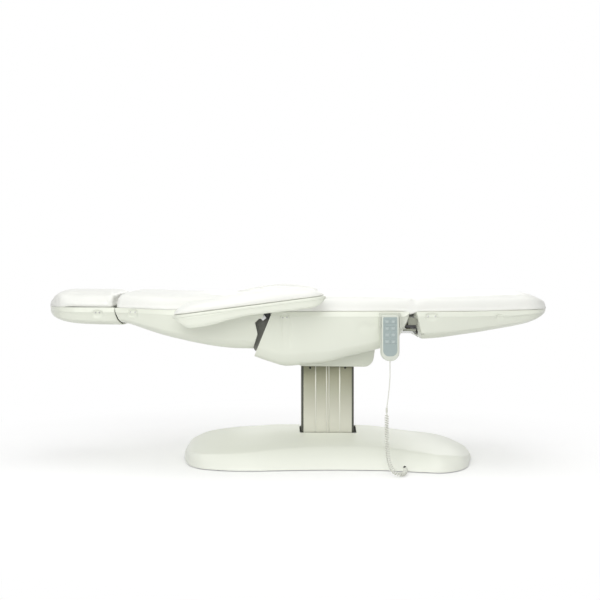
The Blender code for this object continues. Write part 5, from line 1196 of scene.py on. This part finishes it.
# Half of a shell's cross-section, from its rim to the middle of its belly:
# shares of the half-width and of the depth
SHELL_PROFILE = (
    (0.9845, 0.0), (1.0, 0.985), (0.9985, 1.015), (0.982, 0.40), (0.958, 0.745),
    (0.948, 0.79), (0.855, 0.962), (0.74, 0.992), (0.40, 1.0), (0.0, 1.0),
)
PROFILE_STEPS = 6
# Depth of the band under the rim, and how many of the profile's points belong to it
RIM_BAND = 0.018
BAND_ROWS = 3


def shell_ring(top_x, bottom_x, rim_z, depth, half, bulge=0.0):
    """One row of an underside, rim to rim, smooth through the profile's points."""
    right = []
    band = min(RIM_BAND / max(depth, TINY), 0.30)
    profile = [(wide, down * band if number < BAND_ROWS else down)
               for number, (wide, down) in enumerate(SHELL_PROFILE)]
    for step in range((len(profile) - 1) * PROFILE_STEPS + 1):
        wide, deep = row_at(profile, step / PROFILE_STEPS)
        x = mix(top_x, bottom_x, deep) - bulge * 4.0 * deep * (1.0 - deep)
        right.append((x, wide * half, rim_z - deep * depth))
    return mirrored(right)


def dented(item, dents):
    """Press the scoops of the screw pockets and the moulded channels into both flanks."""
    for vert in item.data.vertices:
        x, y, z = vert.co
        for dent_x, dent_z, reach_x, reach_z, sunk, power in dents:
            away = abs((x - dent_x) / reach_x) ** power + abs((z - dent_z) / reach_z) ** power
            if away < 1.0 and abs(y) > 0.12:
                slope = mix(0.40, 1.0, min(max(0.5 + 0.5 * (z - dent_z) / reach_z, 0.0), 1.0))
                vert.co.y -= math.copysign(sunk * slope * min((1.0 - away) * 2.6, 1.0), y)
    return item


# Rows of the undersides: top x, bottom x, bulge of the end, depth and
# half-width, as shares of the shell's length, depth and half-width
SEAT_SHARES = (
    (0.122, 0.000, 0.0, 0.827, 1.0), (0.162, 0.093, 0.0, 0.915, 1.0), (0.242, 0.212, 0.0, 1.000, 1.0),
    (0.323, 0.307, 0.0, 0.980, 1.0), (0.478, 0.478, 0.0, 0.935, 1.0), (0.603, 0.603, 0.0, 0.838, 1.0),
    (0.682, 0.682, 0.0, 0.785, 1.0), (0.761, 0.761, 0.0, 0.730, 1.0), (0.851, 0.851, 0.0, 0.665, 1.0),
    (0.910, 0.922, 0.0, 0.560, 1.0), (0.940, 0.955, 0.0, 0.430, 1.0), (0.970, 0.985, 0.0, 0.300, 1.0),
    (1.000, 1.000, 0.0, 0.150, 1.0),
)
BACK_SHARES = (
    (0.003, 0.043, 0.006, 0.331, 0.868), (0.084, 0.103, 0.0, 0.381, 0.890), (0.196, 0.196, 0.0, 0.496, 0.930),
    (0.331, 0.331, 0.0, 0.655, 0.972), (0.458, 0.458, 0.0, 0.770, 0.993), (0.553, 0.553, 0.0, 0.849, 1.0),
    (0.721, 0.721, 0.0, 0.957, 1.0), (0.850, 0.832, 0.0, 0.993, 1.0), (1.018, 0.938, 0.0, 1.000, 1.0),
)
LEG_SHARES = (
    (-0.026, 0.026, 0.0, 0.880, 0.880), (-0.013, 0.040, 0.0, 0.955, 0.955),
    (0.000, 0.054, 0.0, 1.000, 1.0), (0.112, 0.156, 0.0, 0.971, 1.0),
    (0.320, 0.340, 0.0, 0.856, 1.0), (0.469, 0.469, 0.0, 0.769, 1.0),
    (0.600, 0.600, 0.0, 0.665, 1.0), (0.730, 0.730, 0.0, 0.558, 1.0),
    (0.819, 0.819, 0.0, 0.465, 1.0), (0.862, 0.862, 0.0, 0.405, 0.990),
    (0.905, 0.905, 0.0, 0.330, 0.962), (0.940, 0.940, 0.0, 0.245, 0.915),
    (0.970, 0.970, 0.0, 0.160, 0.845), (1.000, 1.000, 0.0, 0.080, 0.700),
)
HEAD_SHARES = (
    (0.000, 0.000, 0.0, 0.100, 0.130), (0.020, 0.020, 0.0, 0.170, 0.260), (0.052, 0.052, 0.0, 0.270, 0.430),
    (0.110, 0.110, 0.0, 0.440, 0.650), (0.190, 0.190, 0.0, 0.600, 0.840), (0.320, 0.320, 0.0, 0.790, 0.965),
    (0.500, 0.500, 0.0, 0.920, 1.0), (0.750, 0.780, 0.0, 0.985, 1.0), (1.000, 1.088, 0.026, 1.000, 1.0),
)
# Scoops of the screw pockets and the moulded channels: middle, half-sizes,
# depth and squareness
SEAT_DENTS = (
    (-0.0272, 0.5555, 0.0175, 0.0105, 0.0068, 3.0), (-0.0225, 0.4985, 0.0165, 0.0470, 0.0034, 6.0),
    (0.2660, 0.5200, 0.0330, 0.0140, 0.0030, 3.0),
)
BACK_DENTS = ((-0.5760, 0.5680, 0.0180, 0.0140, 0.0066, 3.0),)
LEG_DENTS = ((0.4990, 0.5570, 0.0220, 0.0130, 0.0068, 3.0), (0.7410, 0.5570, 0.0150, 0.0110, 0.0056, 2.0))
HEAD_DENTS = ((-0.7128, 0.5650, 0.0180, 0.0130, 0.0062, 3.0),)
POCKET_SCREWS = (
    ("seat", ((-0.0348, 0.5545), (-0.0197, 0.5555))),
    ("back", ((-0.5852, 0.5727), (-0.5668, 0.5727))),
    ("leg", ((0.4856, 0.5590), (0.5118, 0.5590))),
    ("head", ((-0.7197, 0.5695), (-0.7058, 0.5695))),
)


def underside(name, shares, start, length, depth, half, caps=(), per_row=14):
    """A moulded underside as a smooth skin through its rows."""
    rows = []
    steps = (len(shares) - 1) * per_row
    for step in range(steps + 1):
        top, bottom, bulge, deep, wide = row_at(shares, step / per_row)
        rim = seam_at(start + top * length)
        rows.append(shell_ring(start + top * length, start + bottom * length, rim,
                               deep * depth + rim - SEAM_Z, wide * half, bulge * length))
    middle = (start + 0.5 * length, 0.0, SEAM_Z - 0.02)
    item = grid_skin(name, rows, middle, caps)
    apply_modifier(item, "SOLIDIFY", thickness=sizes().shell_wall, offset=-1.0)
    return bevelled(item, 0.0010)


class BED_OT_undersides(bpy.types.Operator):
    """The moulded undersides of the headrest, the backrest, the seat and the leg rest"""

    bl_idname = "bed.undersides"
    bl_label = "Undersides"

    def execute(self, context):
        seat = underside("seat_underside", SEAT_SHARES, -0.140, 0.557, 0.2065, SHELL_HALF)
        cuts = [block("belly", (-0.088, -0.127, 0.30), (0.356, 0.127, 0.48), 0.012, 3),
                block("drive_slot", (0.3052, -0.173, 0.445), (0.437, -0.127, 0.547), 0.004)]
        carve(seat, cuts + both_sides("ear_notch"))
        dented(seat, SEAT_DENTS)
        dressed(seat, finish("moulding"), "seat", ("seat_shell",))
        back = underside("back_underside", BACK_SHARES, -0.645, 0.535, 0.1425, SHELL_HALF, ("start",))
        cuts = []
        for way, slot in zip((-1.0, 1.0), both_sides("arm_slot")):
            cuts.append(peg("shaft_hole", (ARM_PIVOT[0], way * 0.22, ARM_PIVOT[1]),
                            (ARM_PIVOT[0], way * 0.36, ARM_PIVOT[1]), 0.0075))
            cuts.append(plate("hinge_notch", HINGE_NOTCH, *sorted((way * 0.262, way * 0.320))))
            cuts.append(slot)
        carve(back, cuts)
        dented(back, BACK_DENTS)
        dressed(back, finish("moulding"), "back", ("back_shell",))
        leg = underside("leg_underside", LEG_SHARES, 0.446, 0.482, 0.1065, SHELL_HALF, ("end",))
        rod_notch = block("rod_notch", (0.420, -0.173, 0.455), (0.4760, -0.127, 0.530))
        carve(leg, [rod_notch] + both_sides("stop_notch"), folded=True)
        dented(leg, LEG_DENTS)
        dressed(leg, finish("moulding"), "leg", ("leg_shell",))
        left = HEAD_TIP_X + 0.003
        right = head_arc(HEAD_END_RADIUS)(SEAM_Z - 0.0003)
        head = underside("headrest_underside", HEAD_SHARES, left, right - left, 0.0580, HEAD_HALF - 0.003,
                         ("start",))
        dented(head, HEAD_DENTS)
        dressed(head, finish("moulding"), "head", ("headrest_shell",))
        return {"FINISHED"}


class BED_OT_pocket_screws(bpy.types.Operator):
    """Slotted screws in the undersides' pockets"""

    bl_idname = "bed.pocket_screws"
    bl_label = "Pocket screws"

    def execute(self, context):
        shells = {"seat": "seat_underside", "back": "back_underside", "leg": "leg_underside",
                  "head": "headrest_underside"}
        for body, places in POCKET_SCREWS:
            shell = bpy.data.objects[shells[body]]
            screws = []
            for x, z in places:
                for way in (-1.0, 1.0):
                    found, spot, normal, index = shell.ray_cast(Vector((x, way * 0.5, z)),
                                                                Vector((0.0, -way, 0.0)))
                    if not found:
                        continue
                    screws.append(peg("screw", spot - normal * 0.0015, spot + normal * 0.0012, 0.0033, 24,
                                      0.0008, 2))
                    cross = block("slot", (-0.0022, -0.0004, -0.0006), (0.0022, 0.0004, 0.0006))
                    turn = normal.to_track_quat("Z", "Y")
                    for vert in cross.data.vertices:
                        vert.co = spot + normal * 0.0012 + turn @ vert.co
                    carve(screws[-1], [cross])
            if screws:
                item = joined(screws)
                item.name = "pocket_screws_" + body
                dressed(item, finish("screw"), body)
        return {"FINISHED"}


# Rows of the base cover: share of its length, bottom half-width, ridge height,
# crease half-width and crease height
BASE_SHARES = (
    (0.000, 0.090, 0.180, 0.080, 0.200), (0.000, 0.140, 0.235, 0.130, 0.286),
    (0.010, 0.390, 0.406, 0.380, 0.468), (0.024, 0.630, 0.563, 0.630, 0.597),
    (0.052, 0.840, 0.695, 0.850, 0.675), (0.087, 0.960, 0.805, 0.965, 0.701),
    (0.192, 1.075, 0.930, 1.020, 0.779), (0.265, 1.075, 0.965, 0.965, 0.850),
    (0.333, 1.050, 1.000, 0.890, 0.922), (0.500, 1.005, 1.000, 0.797, 1.000),
    (0.652, 1.030, 0.961, 0.819, 0.987), (0.721, 1.085, 0.880, 0.890, 0.920),
    (0.789, 1.160, 0.789, 1.000, 0.831), (0.859, 1.210, 0.668, 1.130, 0.740),
    (0.929, 1.020, 0.516, 1.010, 0.620), (0.964, 0.740, 0.426, 0.750, 0.510),
    (0.985, 0.370, 0.320, 0.375, 0.390), (1.000, 0.110, 0.141, 0.100, 0.180),
    (1.000, 0.070, 0.110, 0.060, 0.140),
)
# Points of its cross-section: from its rim to just under its crease, and on to its ridge
WALL_SHARES = ((0.0, 0.0), (0.06, 0.10), (0.40, 0.50), (0.84, 0.90), (0.955, 0.975))
RIDGE_SHARES = ((0.985, 0.012), (0.955, 0.045), (0.84, 0.20), (0.62, 0.44), (0.33, 0.74), (0.0, 1.0))
BASE_HALF = 0.263
BASE_CREASE_HALF = 0.232
BASE_CREASE_Z = 0.077
BASE_TOP_Z = 0.128
RING_STEPS = 6


def base_ring(place, bottom, ridge, crease_half, crease_height):
    """One row of the base cover, rim over the ridge to rim."""
    x = BASE_LEFT + place * BASE_LENGTH
    half = bottom * BASE_HALF
    crease_y = min(crease_half * BASE_CREASE_HALF, 0.97 * half)
    top = max(ridge * BASE_TOP_Z, BASE_RIM_Z + 0.001)
    crease_z = min(max(crease_height * BASE_CREASE_Z, BASE_RIM_Z), 0.9 * top)
    points = [(mix(half, crease_y, inward), mix(BASE_RIM_Z, crease_z, rise)) for inward, rise in WALL_SHARES]
    points += [(wide * crease_y, mix(crease_z, top, rise)) for wide, rise in RIDGE_SHARES]
    return mirrored([(x, *row_at(points, step / RING_STEPS))
                     for step in range((len(points) - 1) * RING_STEPS + 1)])


class BED_OT_base(bpy.types.Operator):
    """The waisted floor cover, cut out round the column"""

    bl_idname = "bed.base"
    bl_label = "Base cover"

    def execute(self, context):
        rows = []
        per_row = 9
        for step in range((len(BASE_SHARES) - 1) * per_row + 1):
            rows.append(base_ring(*row_at(BASE_SHARES, step / per_row)))
        cover = grid_skin("floor_cover", rows, (BASE_LEFT + 0.5 * BASE_LENGTH, 0.0, 0.02), ("start", "end"))
        apply_modifier(cover, "SMOOTH", factor=0.25, iterations=1)
        apply_modifier(cover, "SOLIDIFY", thickness=0.0028, offset=-1.0)
        for vert in cover.data.vertices:
            vert.co.z = max(vert.co.z, BASE_RIM_Z)
        low_x, high_x = COLUMN_X - COLUMN_HALF_X - 0.006, COLUMN_X + COLUMN_HALF_X + 0.009
        side = COLUMN_HALF_Y + 0.006
        low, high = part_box("cord_gland")
        gland_x, gland_z = 0.5 * (low[0] + high[0]), 0.5 * (low[2] + high[2])
        carve(cover, [
            block("cutout", (low_x, -side, 0.095), (high_x, side, 0.16), 0.004, 3),
            block("inlet_hole", (BASE_LEFT - 0.02, -0.0143, -0.02), (BASE_LEFT + 0.02, 0.0143, 0.0263), 0.0),
            peg("gland_hole", (gland_x, -0.32, gland_z), (gland_x, low[1] + 0.049, gland_z), 0.0057)])
        bevelled(cover, 0.0008, 2, 55.0)
        # The floor cover takes the lighter copy of the moulding: painted light.
        dressed(cover, finish("floor_moulding"), "base", ("base_cover",))
        return {"FINISHED"}


# The column's outline along one face: grooves as shares of its length with
# their half-widths, in metres
GROOVES = ((0.2715, 0.0020), (0.4785, 0.0017), (0.5260, 0.0017), (0.7290, 0.0020))
GROOVE_DEPTH = 0.0008
COLUMN_CORNER = 0.0085
# Screws at the column's top: distance from its middle, and height
COLUMN_SCREW_X = 0.0664
COLUMN_SCREW_Z = 0.354


def column_outline():
    """The column's cross-section with its grooves, once round."""
    def face(sign):
        places = [(-COLUMN_HALF_X + COLUMN_CORNER, 0.0)]
        for share, half in GROOVES:
            x = (share - 0.5) * 2.0 * COLUMN_HALF_X
            soft = 0.0005
            places += [(x - half - soft, 0.0), (x - half, GROOVE_DEPTH), (x + half, GROOVE_DEPTH),
                       (x + half + soft, 0.0)]
        places.append((COLUMN_HALF_X - COLUMN_CORNER, 0.0))
        return [(x, sign * (COLUMN_HALF_Y - deep)) for x, deep in places]

    def corner(x_sign, y_sign, start):
        points = []
        for step in range(1, 8):
            angle = math.radians(start + 90.0 * step / 8.0)
            points.append((x_sign * (COLUMN_HALF_X - COLUMN_CORNER) + COLUMN_CORNER * math.cos(angle),
                           y_sign * (COLUMN_HALF_Y - COLUMN_CORNER) + COLUMN_CORNER * math.sin(angle)))
        return points

    flat = COLUMN_HALF_Y - COLUMN_CORNER
    return (face(-1.0) + corner(1.0, -1.0, 270.0) + [(COLUMN_HALF_X, -flat), (COLUMN_HALF_X, flat)]
            + corner(1.0, 1.0, 0.0) + face(1.0)[::-1] + corner(-1.0, 1.0, 90.0)
            + [(-COLUMN_HALF_X, flat), (-COLUMN_HALF_X, -flat)] + corner(-1.0, -1.0, 180.0))


def raised_outline(name, outline, low, high, middle_x=0.0):
    """A flat outline filled and pulled up between two heights."""
    deselect()
    bpy.ops.mesh.primitive_circle_add(vertices=len(outline), radius=1.0, fill_type="NGON")
    item = added(name)
    for vert, (x, y) in zip(item.data.vertices, outline):
        vert.co = (middle_x + x, y, low)
    activate(item)
    bpy.ops.object.mode_set(mode="EDIT")
    bpy.ops.mesh.select_all(action="SELECT")
    bpy.ops.mesh.extrude_region_move(TRANSFORM_OT_translate={"value": (0.0, 0.0, high - low)})
    return cleaned(item)


class BED_OT_column(bpy.types.Operator):
    """The grooved outer profile of the lifting column, its rounded corners painted dark as shade, and its
    screws
    """

    bl_idname = "bed.column"
    bl_label = "Column"

    def execute(self, context):
        sleeve = raised_outline("column_sleeve", column_outline(), COLUMN_FOOT_Z, COLUMN_TOP_Z, COLUMN_X)
        bore = block("bore", (COLUMN_X - COLUMN_HALF_X + 0.004, -COLUMN_HALF_Y + 0.004, COLUMN_FOOT_Z - 0.02),
                     (COLUMN_X + COLUMN_HALF_X - 0.004, COLUMN_HALF_Y - 0.004, COLUMN_TOP_Z + 0.02), 0.003)
        carve(sleeve, [bore])
        bevelled(sleeve, 0.0005, 2, 60.0)
        dressed(sleeve, finish("column"), "base", ("column_outer",), 30.0)
        sleeve.data.materials.append(finish("column_corner_shade"))
        sleeve.data.materials.append(finish("groove"))
        # The rounded corners take the near-black finish as painted shade and painted dark reflection.
        edge = COLUMN_HALF_X - COLUMN_CORNER * 1.05
        for face in sleeve.data.polygons:
            away = abs(face.center.x - COLUMN_X)
            depth = COLUMN_HALF_Y - abs(face.center.y)
            if away > edge and away < COLUMN_HALF_X + 0.001 and depth < COLUMN_CORNER + 0.001:
                face.material_index = 1
            # Groove floors take the darker finish: painted shade in the grooves.
            elif 0.5 * GROOVE_DEPTH < depth < 2.0 * GROOVE_DEPTH and away < edge:
                face.material_index = 2
        screws = []
        for way in (-1.0, 1.0):
            for side in (-1.0, 1.0):
                x, y, z = COLUMN_X + way * COLUMN_SCREW_X, side * COLUMN_HALF_Y, COLUMN_SCREW_Z
                head = peg("head", (x, y - side * 0.0015, z), (x, y + side * 0.0020, z), 0.0043, 32,
                           0.0010, 3)
                socket = peg("socket", (x, y + side * 0.0008, z), (x, y + side * 0.0040, z), 0.0019, 6)
                carve(head, [socket])
                screws.append(head)
        heads = joined(screws)
        heads.name = "column_screws"
        dressed(heads, finish("black_screw"), "base")
        return {"FINISHED"}


class BED_OT_head_cover(bpy.types.Operator):
    """The cover round the top of the column"""

    bl_idname = "bed.head_cover"
    bl_label = "Column head cover"

    def execute(self, context):
        low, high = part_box("column_head_cover")
        half_x = 0.5 * (high[0] - low[0])
        middle = 0.5 * (high[0] + low[0])
        cover = block("head_cover", low, high)
        activate(cover)
        bpy.ops.object.mode_set(mode="EDIT")
        bpy.ops.mesh.select_all(action="DESELECT")
        mesh = bmesh.from_edit_mesh(cover.data)
        for vert in mesh.verts:
            if vert.co.x > middle and vert.co.z < low[2] + 0.001:
                vert.co.x -= 0.011
        for edge in mesh.edges:
            ends = [vert.co for vert in edge.verts]
            edge.select = all(co.x > middle and co.z < low[2] + 0.001 for co in ends)
        bmesh.update_edit_mesh(cover.data)
        bpy.ops.mesh.bevel(offset=0.032, segments=10, affect="EDGES")
        bpy.ops.mesh.select_all(action="SELECT")
        bpy.ops.mesh.bisect(plane_co=(COLUMN_X - 0.099, 0.0, 0.0), plane_no=(1.0, 0.0, 0.0))
        bpy.ops.object.mode_set(mode="OBJECT")
        for vert in cover.data.vertices:
            if vert.co.z < low[2] + 0.001:
                vert.co.z += 0.0042 * (high[0] - vert.co.x) / (2.0 * half_x)
                if vert.co.x < low[0] + 0.001:
                    vert.co.z += 0.022
        activate(cover)
        bpy.ops.object.mode_set(mode="EDIT")
        bpy.ops.mesh.select_all(action="DESELECT")
        mesh = bmesh.from_edit_mesh(cover.data)
        for face in mesh.faces:
            face.select = face.normal.z > 0.9
        bmesh.update_edit_mesh(cover.data)
        bpy.ops.mesh.delete(type="FACE")
        bpy.ops.object.mode_set(mode="OBJECT")
        bevelled(cover, 0.006, 4)
        apply_modifier(cover, "SOLIDIFY", thickness=0.0028, offset=-1.0)
        reach_x, reach_y = COLUMN_HALF_X + 0.008, COLUMN_HALF_Y + 0.008
        carve(cover, [block("hole", (COLUMN_X - reach_x, -reach_y, low[2] - 0.02),
                            (COLUMN_X + reach_x, reach_y, low[2] + 0.02), 0.004, 3)])
        dressed(cover, finish("moulding"), "lift", ("column_head_cover",))
        return {"FINISHED"}


# Keys of the hand control, from the top row down: what each column does
KEY_ROWS = ("height", "back", "leg", "tilt")
KEY_TOP_Z = 0.542
KEY_PITCH_Z = 0.0237
KEY_HALF_PITCH = 0.011
KEY_HOLE_HALF_X = 0.0079
KEY_HOLE_HALF_Z = 0.0069
CONTROL_MIDDLE_X = 0.34625
CONTROL_FACE_Y = -0.335
# Corners of the face film's recess in X and Z, and the gap round the film
FILM_LOW = (0.3209, 0.4190)
FILM_HIGH = (0.3716, 0.5580)
FILM_GAP = 0.0002


def rounded_outline(low, high, low_radius, high_radius, steps=10):
    """A rectangle with rounded corners, once round, from its lower right corner."""
    points = []
    for x_sign, z_sign, start, radius in ((1.0, -1.0, 270.0, low_radius), (1.0, 1.0, 0.0, high_radius),
                                          (-1.0, 1.0, 90.0, high_radius), (-1.0, -1.0, 180.0, low_radius)):
        x = (high[0] if x_sign > 0.0 else low[0]) - x_sign * radius
        z = (high[1] if z_sign > 0.0 else low[1]) - z_sign * radius
        for step in range(steps + 1):
            angle = math.radians(start + 90.0 * step / steps)
            points.append((x + radius * math.cos(angle), z + radius * math.sin(angle)))
    return points


def plate(name, outline, near_y, far_y, bevel=0.0, segments=3):
    """An upright plate between two depths with its outline in X and Z."""
    item = raised_outline(name, outline, near_y, far_y)
    for vert in item.data.vertices:
        vert.co = (vert.co.x, vert.co.z, vert.co.y)
    cleaned(item)
    return bevelled(item, bevel, segments) if bevel else item


def bar(middle, half_x, half_z, turn, near_y, far_y):
    """A small flat bar, turned in its own plane."""
    outline = rounded_outline((-half_x, -half_z), (half_x, half_z), min(half_x, half_z) * 0.6,
                              min(half_x, half_z) * 0.6, 3)
    cosine, sine = math.cos(turn), math.sin(turn)
    return plate("bar", [(middle[0] + x * cosine - z * sine, middle[1] + x * sine + z * cosine)
                         for x, z in outline], near_y, far_y)


# Bars of the key rows' pictograms: middle, half-length, half-height, turn in degrees
ICON_BARS = (
    ((-0.0006, 0.0015, 0.0040, 0.00055, 0.0), (-0.0006, -0.0008, 0.0006, 0.0018, 0.0),
     (-0.0006, -0.0030, 0.0028, 0.00055, 0.0)),
    ((0.0012, -0.0015, 0.0032, 0.00055, 0.0), (-0.0032, 0.0002, 0.0026, 0.00055, -50.0)),
    ((-0.0018, 0.0008, 0.0030, 0.00055, 0.0), (0.0026, -0.0010, 0.0026, 0.00055, -45.0)),
    ((-0.0004, -0.0006, 0.0044, 0.00055, 16.0), (-0.0004, -0.0032, 0.0020, 0.00055, 0.0)),
)


def key_icon(row, way, x, z, face):
    """A small bed pictogram and the arrow of its movement, as thin raised print."""
    near, far = face - 0.00015, face + 0.0002
    bars = [bar((x + over, z + up), half_x, half_z, math.radians(turn), near, far)
            for over, up, half_x, half_z, turn in ICON_BARS[row]]
    lift = 1.0 if way == "up" else -1.0
    foot = z + 0.0030 - 0.0006 * lift
    arrow = [(x + 0.0050, z + 0.0030 + 0.0014 * lift), (x + 0.0036, foot), (x + 0.0064, foot)]
    bars.append(plate("arrow", arrow if lift > 0.0 else arrow[::-1], near, far))
    return bars


def key_places():
    """Each key's row, its direction and its middle in X and Z."""
    for row in range(len(KEY_ROWS)):
        for way, name in ((-1.0, "up"), (1.0, "down")):
            yield row, name, CONTROL_MIDDLE_X + way * KEY_HALF_PITCH, KEY_TOP_Z - row * KEY_PITCH_Z


def key_holes():
    """Blocks that cut the eight keys' openings."""
    return [block("key_hole", (x - KEY_HOLE_HALF_X, CONTROL_FACE_Y - 0.01, z - KEY_HOLE_HALF_Z),
                  (x + KEY_HOLE_HALF_X, CONTROL_FACE_Y + 0.0072, z + KEY_HOLE_HALF_Z))
            for row, name, x, z in key_places()]


class BED_OT_hand_control(bpy.types.Operator):
    """The hand control's front, its face film and its eight keys"""

    bl_idname = "bed.hand_control"
    bl_label = "Hand control"

    def execute(self, context):
        low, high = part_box("handset_front")
        outline = rounded_outline((low[0] + 0.0028, low[2]), (high[0] - 0.0028, high[2]), 0.0285, 0.0095, 14)
        front = plate("control_front", outline, low[1], high[1], 0.0022, 4)
        recess = plate("recess", rounded_outline(FILM_LOW, FILM_HIGH, 0.021, 0.004), CONTROL_FACE_Y - 0.002,
                       CONTROL_FACE_Y + 0.0005)
        carve(front, [recess] + key_holes())
        dressed(front, finish("control"), "seat", ("handset_front",))
        outline = rounded_outline([place + FILM_GAP for place in FILM_LOW],
                                  [place - FILM_GAP for place in FILM_HIGH], 0.0208, 0.0038)
        film = plate("control_film", outline, CONTROL_FACE_Y + 0.00012, CONTROL_FACE_Y + 0.0006)
        carve(film, key_holes())
        bevelled(film, 0.0001, 1)
        dressed(film, finish("label"), "seat")
        for row, name, x, z in key_places():
            body = "key_" + KEY_ROWS[row] + "_" + name
            key_low, key_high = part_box(body)
            face = key_low[1]
            outline = rounded_outline((key_low[0], key_low[2]), (key_high[0], key_high[2]), 0.0022, 0.0022, 6)
            key = plate(body + "_cap", outline, face + 0.0002, key_high[1], 0.0005, 3)
            dressed(key, finish("key"), body, (body,))
            icon = joined(key_icon(row, name, x, z, face + 0.0001))
            icon.name = body + "_print"
            dressed(icon, finish("icon"), body)
        return {"FINISHED"}


# Plates seen in the gaps at the hinges: name, outline in X and Z, from which to
# which distance off the middle, finish, body and slot
HINGE_PLATES = (
    ("leg_hinge_cheek",
     ((0.4170, 0.5602), (0.4336, 0.5516), (0.4490, 0.5620), (0.4475, 0.5271), (0.4156, 0.5253)),
     0.2800, 0.2825, "olive", "seat", "steel_frame"),
    ("leg_hinge_stop",
     ((0.4050, 0.5275), (0.4065, 0.5180), (0.4430, 0.5160), (0.4430, 0.5265)),
     0.2800, 0.2850, "black_paint", "seat", "black_paint"),
    ("leg_hinge_strap",
     ((0.3980, 0.5140), (0.3990, 0.5060), (0.4430, 0.5040), (0.4430, 0.5125)),
     0.2820, 0.2850, "olive", "seat", "steel_frame"),
    ("back_hinge_block",
     ((-0.1045, 0.5745), (-0.0985, 0.5775), (-0.0850, 0.5760), (-0.0790, 0.5640), (-0.0850, 0.5470),
      (-0.1000, 0.5560)),
     0.2780, 0.2830, "black_paint", "seat", "black_paint"),
    ("back_hinge_bracket",
     ((-0.1190, 0.5560), (-0.1060, 0.5690), (-0.0930, 0.5530), (-0.1060, 0.5420)),
     0.2840, 0.2870, "zinc", "back", "zinc_pin"),
    ("back_hinge_liner",
     ((-0.1450, 0.4520), (-0.1360, 0.4330), (-0.1250, 0.4330), (-0.0650, 0.5520), (-0.0750, 0.5700),
      (-0.1450, 0.5700)),
     0.2540, 0.2570, "liner", "back", "black_paint"),
)
# The notch that the back hinge's arms reach through, in X and Z
HINGE_NOTCH = ((-0.1340, 0.5365), (-0.1202, 0.5501), (-0.0800, 0.5540), (-0.0800, 0.4800), (-0.1235, 0.4864))


class BED_OT_hinge_parts(bpy.types.Operator):
    """Bracket cheeks seen in the gaps at the back hinge and the leg hinge"""

    bl_idname = "bed.hinge_parts"
    bl_label = "Hinge parts"

    def execute(self, context):
        for way, name in ((-1.0, "near"), (1.0, "far")):
            for label, outline, inner, outer, tint, body, slot in HINGE_PLATES:
                y_low, y_high = sorted((way * inner, way * outer))
                item = plate(label + "_" + name, outline, y_low, y_high, 0.0008)
                dressed(item, finish(tint), body)
        return {"FINISHED"}


class BED_OT_kept_pieces(bpy.types.Operator):
    """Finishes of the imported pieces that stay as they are"""

    bl_idname = "bed.kept_pieces"
    bl_label = "Kept pieces"

    def execute(self, context):
        for node, name in KEPT_FINISHES.items():
            item = bpy.data.objects[node]
            item.data.materials.clear()
            item.data.materials.append(finish(name))
        return {"FINISHED"}


class BED_PT_pieces(bpy.types.Panel):
    """Panel with the bed's sizes, colours and pieces"""

    bl_idname = "BED_PT_pieces"
    bl_label = "Treatment bed"
    bl_space_type = "VIEW_3D"
    bl_region_type = "UI"
    bl_category = "Bed"

    def draw(self, context):
        for group in (context.scene.bed_sizes, context.scene.bed_colours):
            column = self.layout.column(align=True)
            for name in group.bl_rna.properties.keys():
                if name not in ("rna_type", "name"):
                    column.prop(group, name)
        for operator in OPERATORS:
            self.layout.operator(operator.bl_idname)


OPERATORS = (
    BED_OT_stage, BED_OT_cords, BED_OT_cushions, BED_OT_armrests, BED_OT_undersides, BED_OT_pocket_screws,
    BED_OT_base, BED_OT_column, BED_OT_head_cover, BED_OT_hand_control, BED_OT_hinge_parts,
    BED_OT_kept_pieces,
)
CLASSES = (BedSizes, BedColours) + OPERATORS + (BED_PT_pieces,)


def register():
    """Register the classes and keep the sizes and colours on the scene."""
    for kind in CLASSES:
        bpy.utils.register_class(kind)
    bpy.types.Scene.bed_sizes = PointerProperty(type=BedSizes)
    bpy.types.Scene.bed_colours = PointerProperty(type=BedColours)


def unregister():
    """Take the classes and the scene's values away."""
    del bpy.types.Scene.bed_colours
    del bpy.types.Scene.bed_sizes
    for kind in reversed(CLASSES):
        bpy.utils.unregister_class(kind)


def main():
    """Build every piece in order."""
    register()
    bpy.ops.bed.stage()
    bpy.ops.bed.cords()
    bpy.ops.bed.cushions()
    bpy.ops.bed.armrests()
    bpy.ops.bed.undersides()
    bpy.ops.bed.pocket_screws()
    bpy.ops.bed.base()
    bpy.ops.bed.column()
    bpy.ops.bed.head_cover()
    bpy.ops.bed.hand_control()
    bpy.ops.bed.hinge_parts()
    bpy.ops.bed.kept_pieces()


if __name__ == "__main__":
    main()
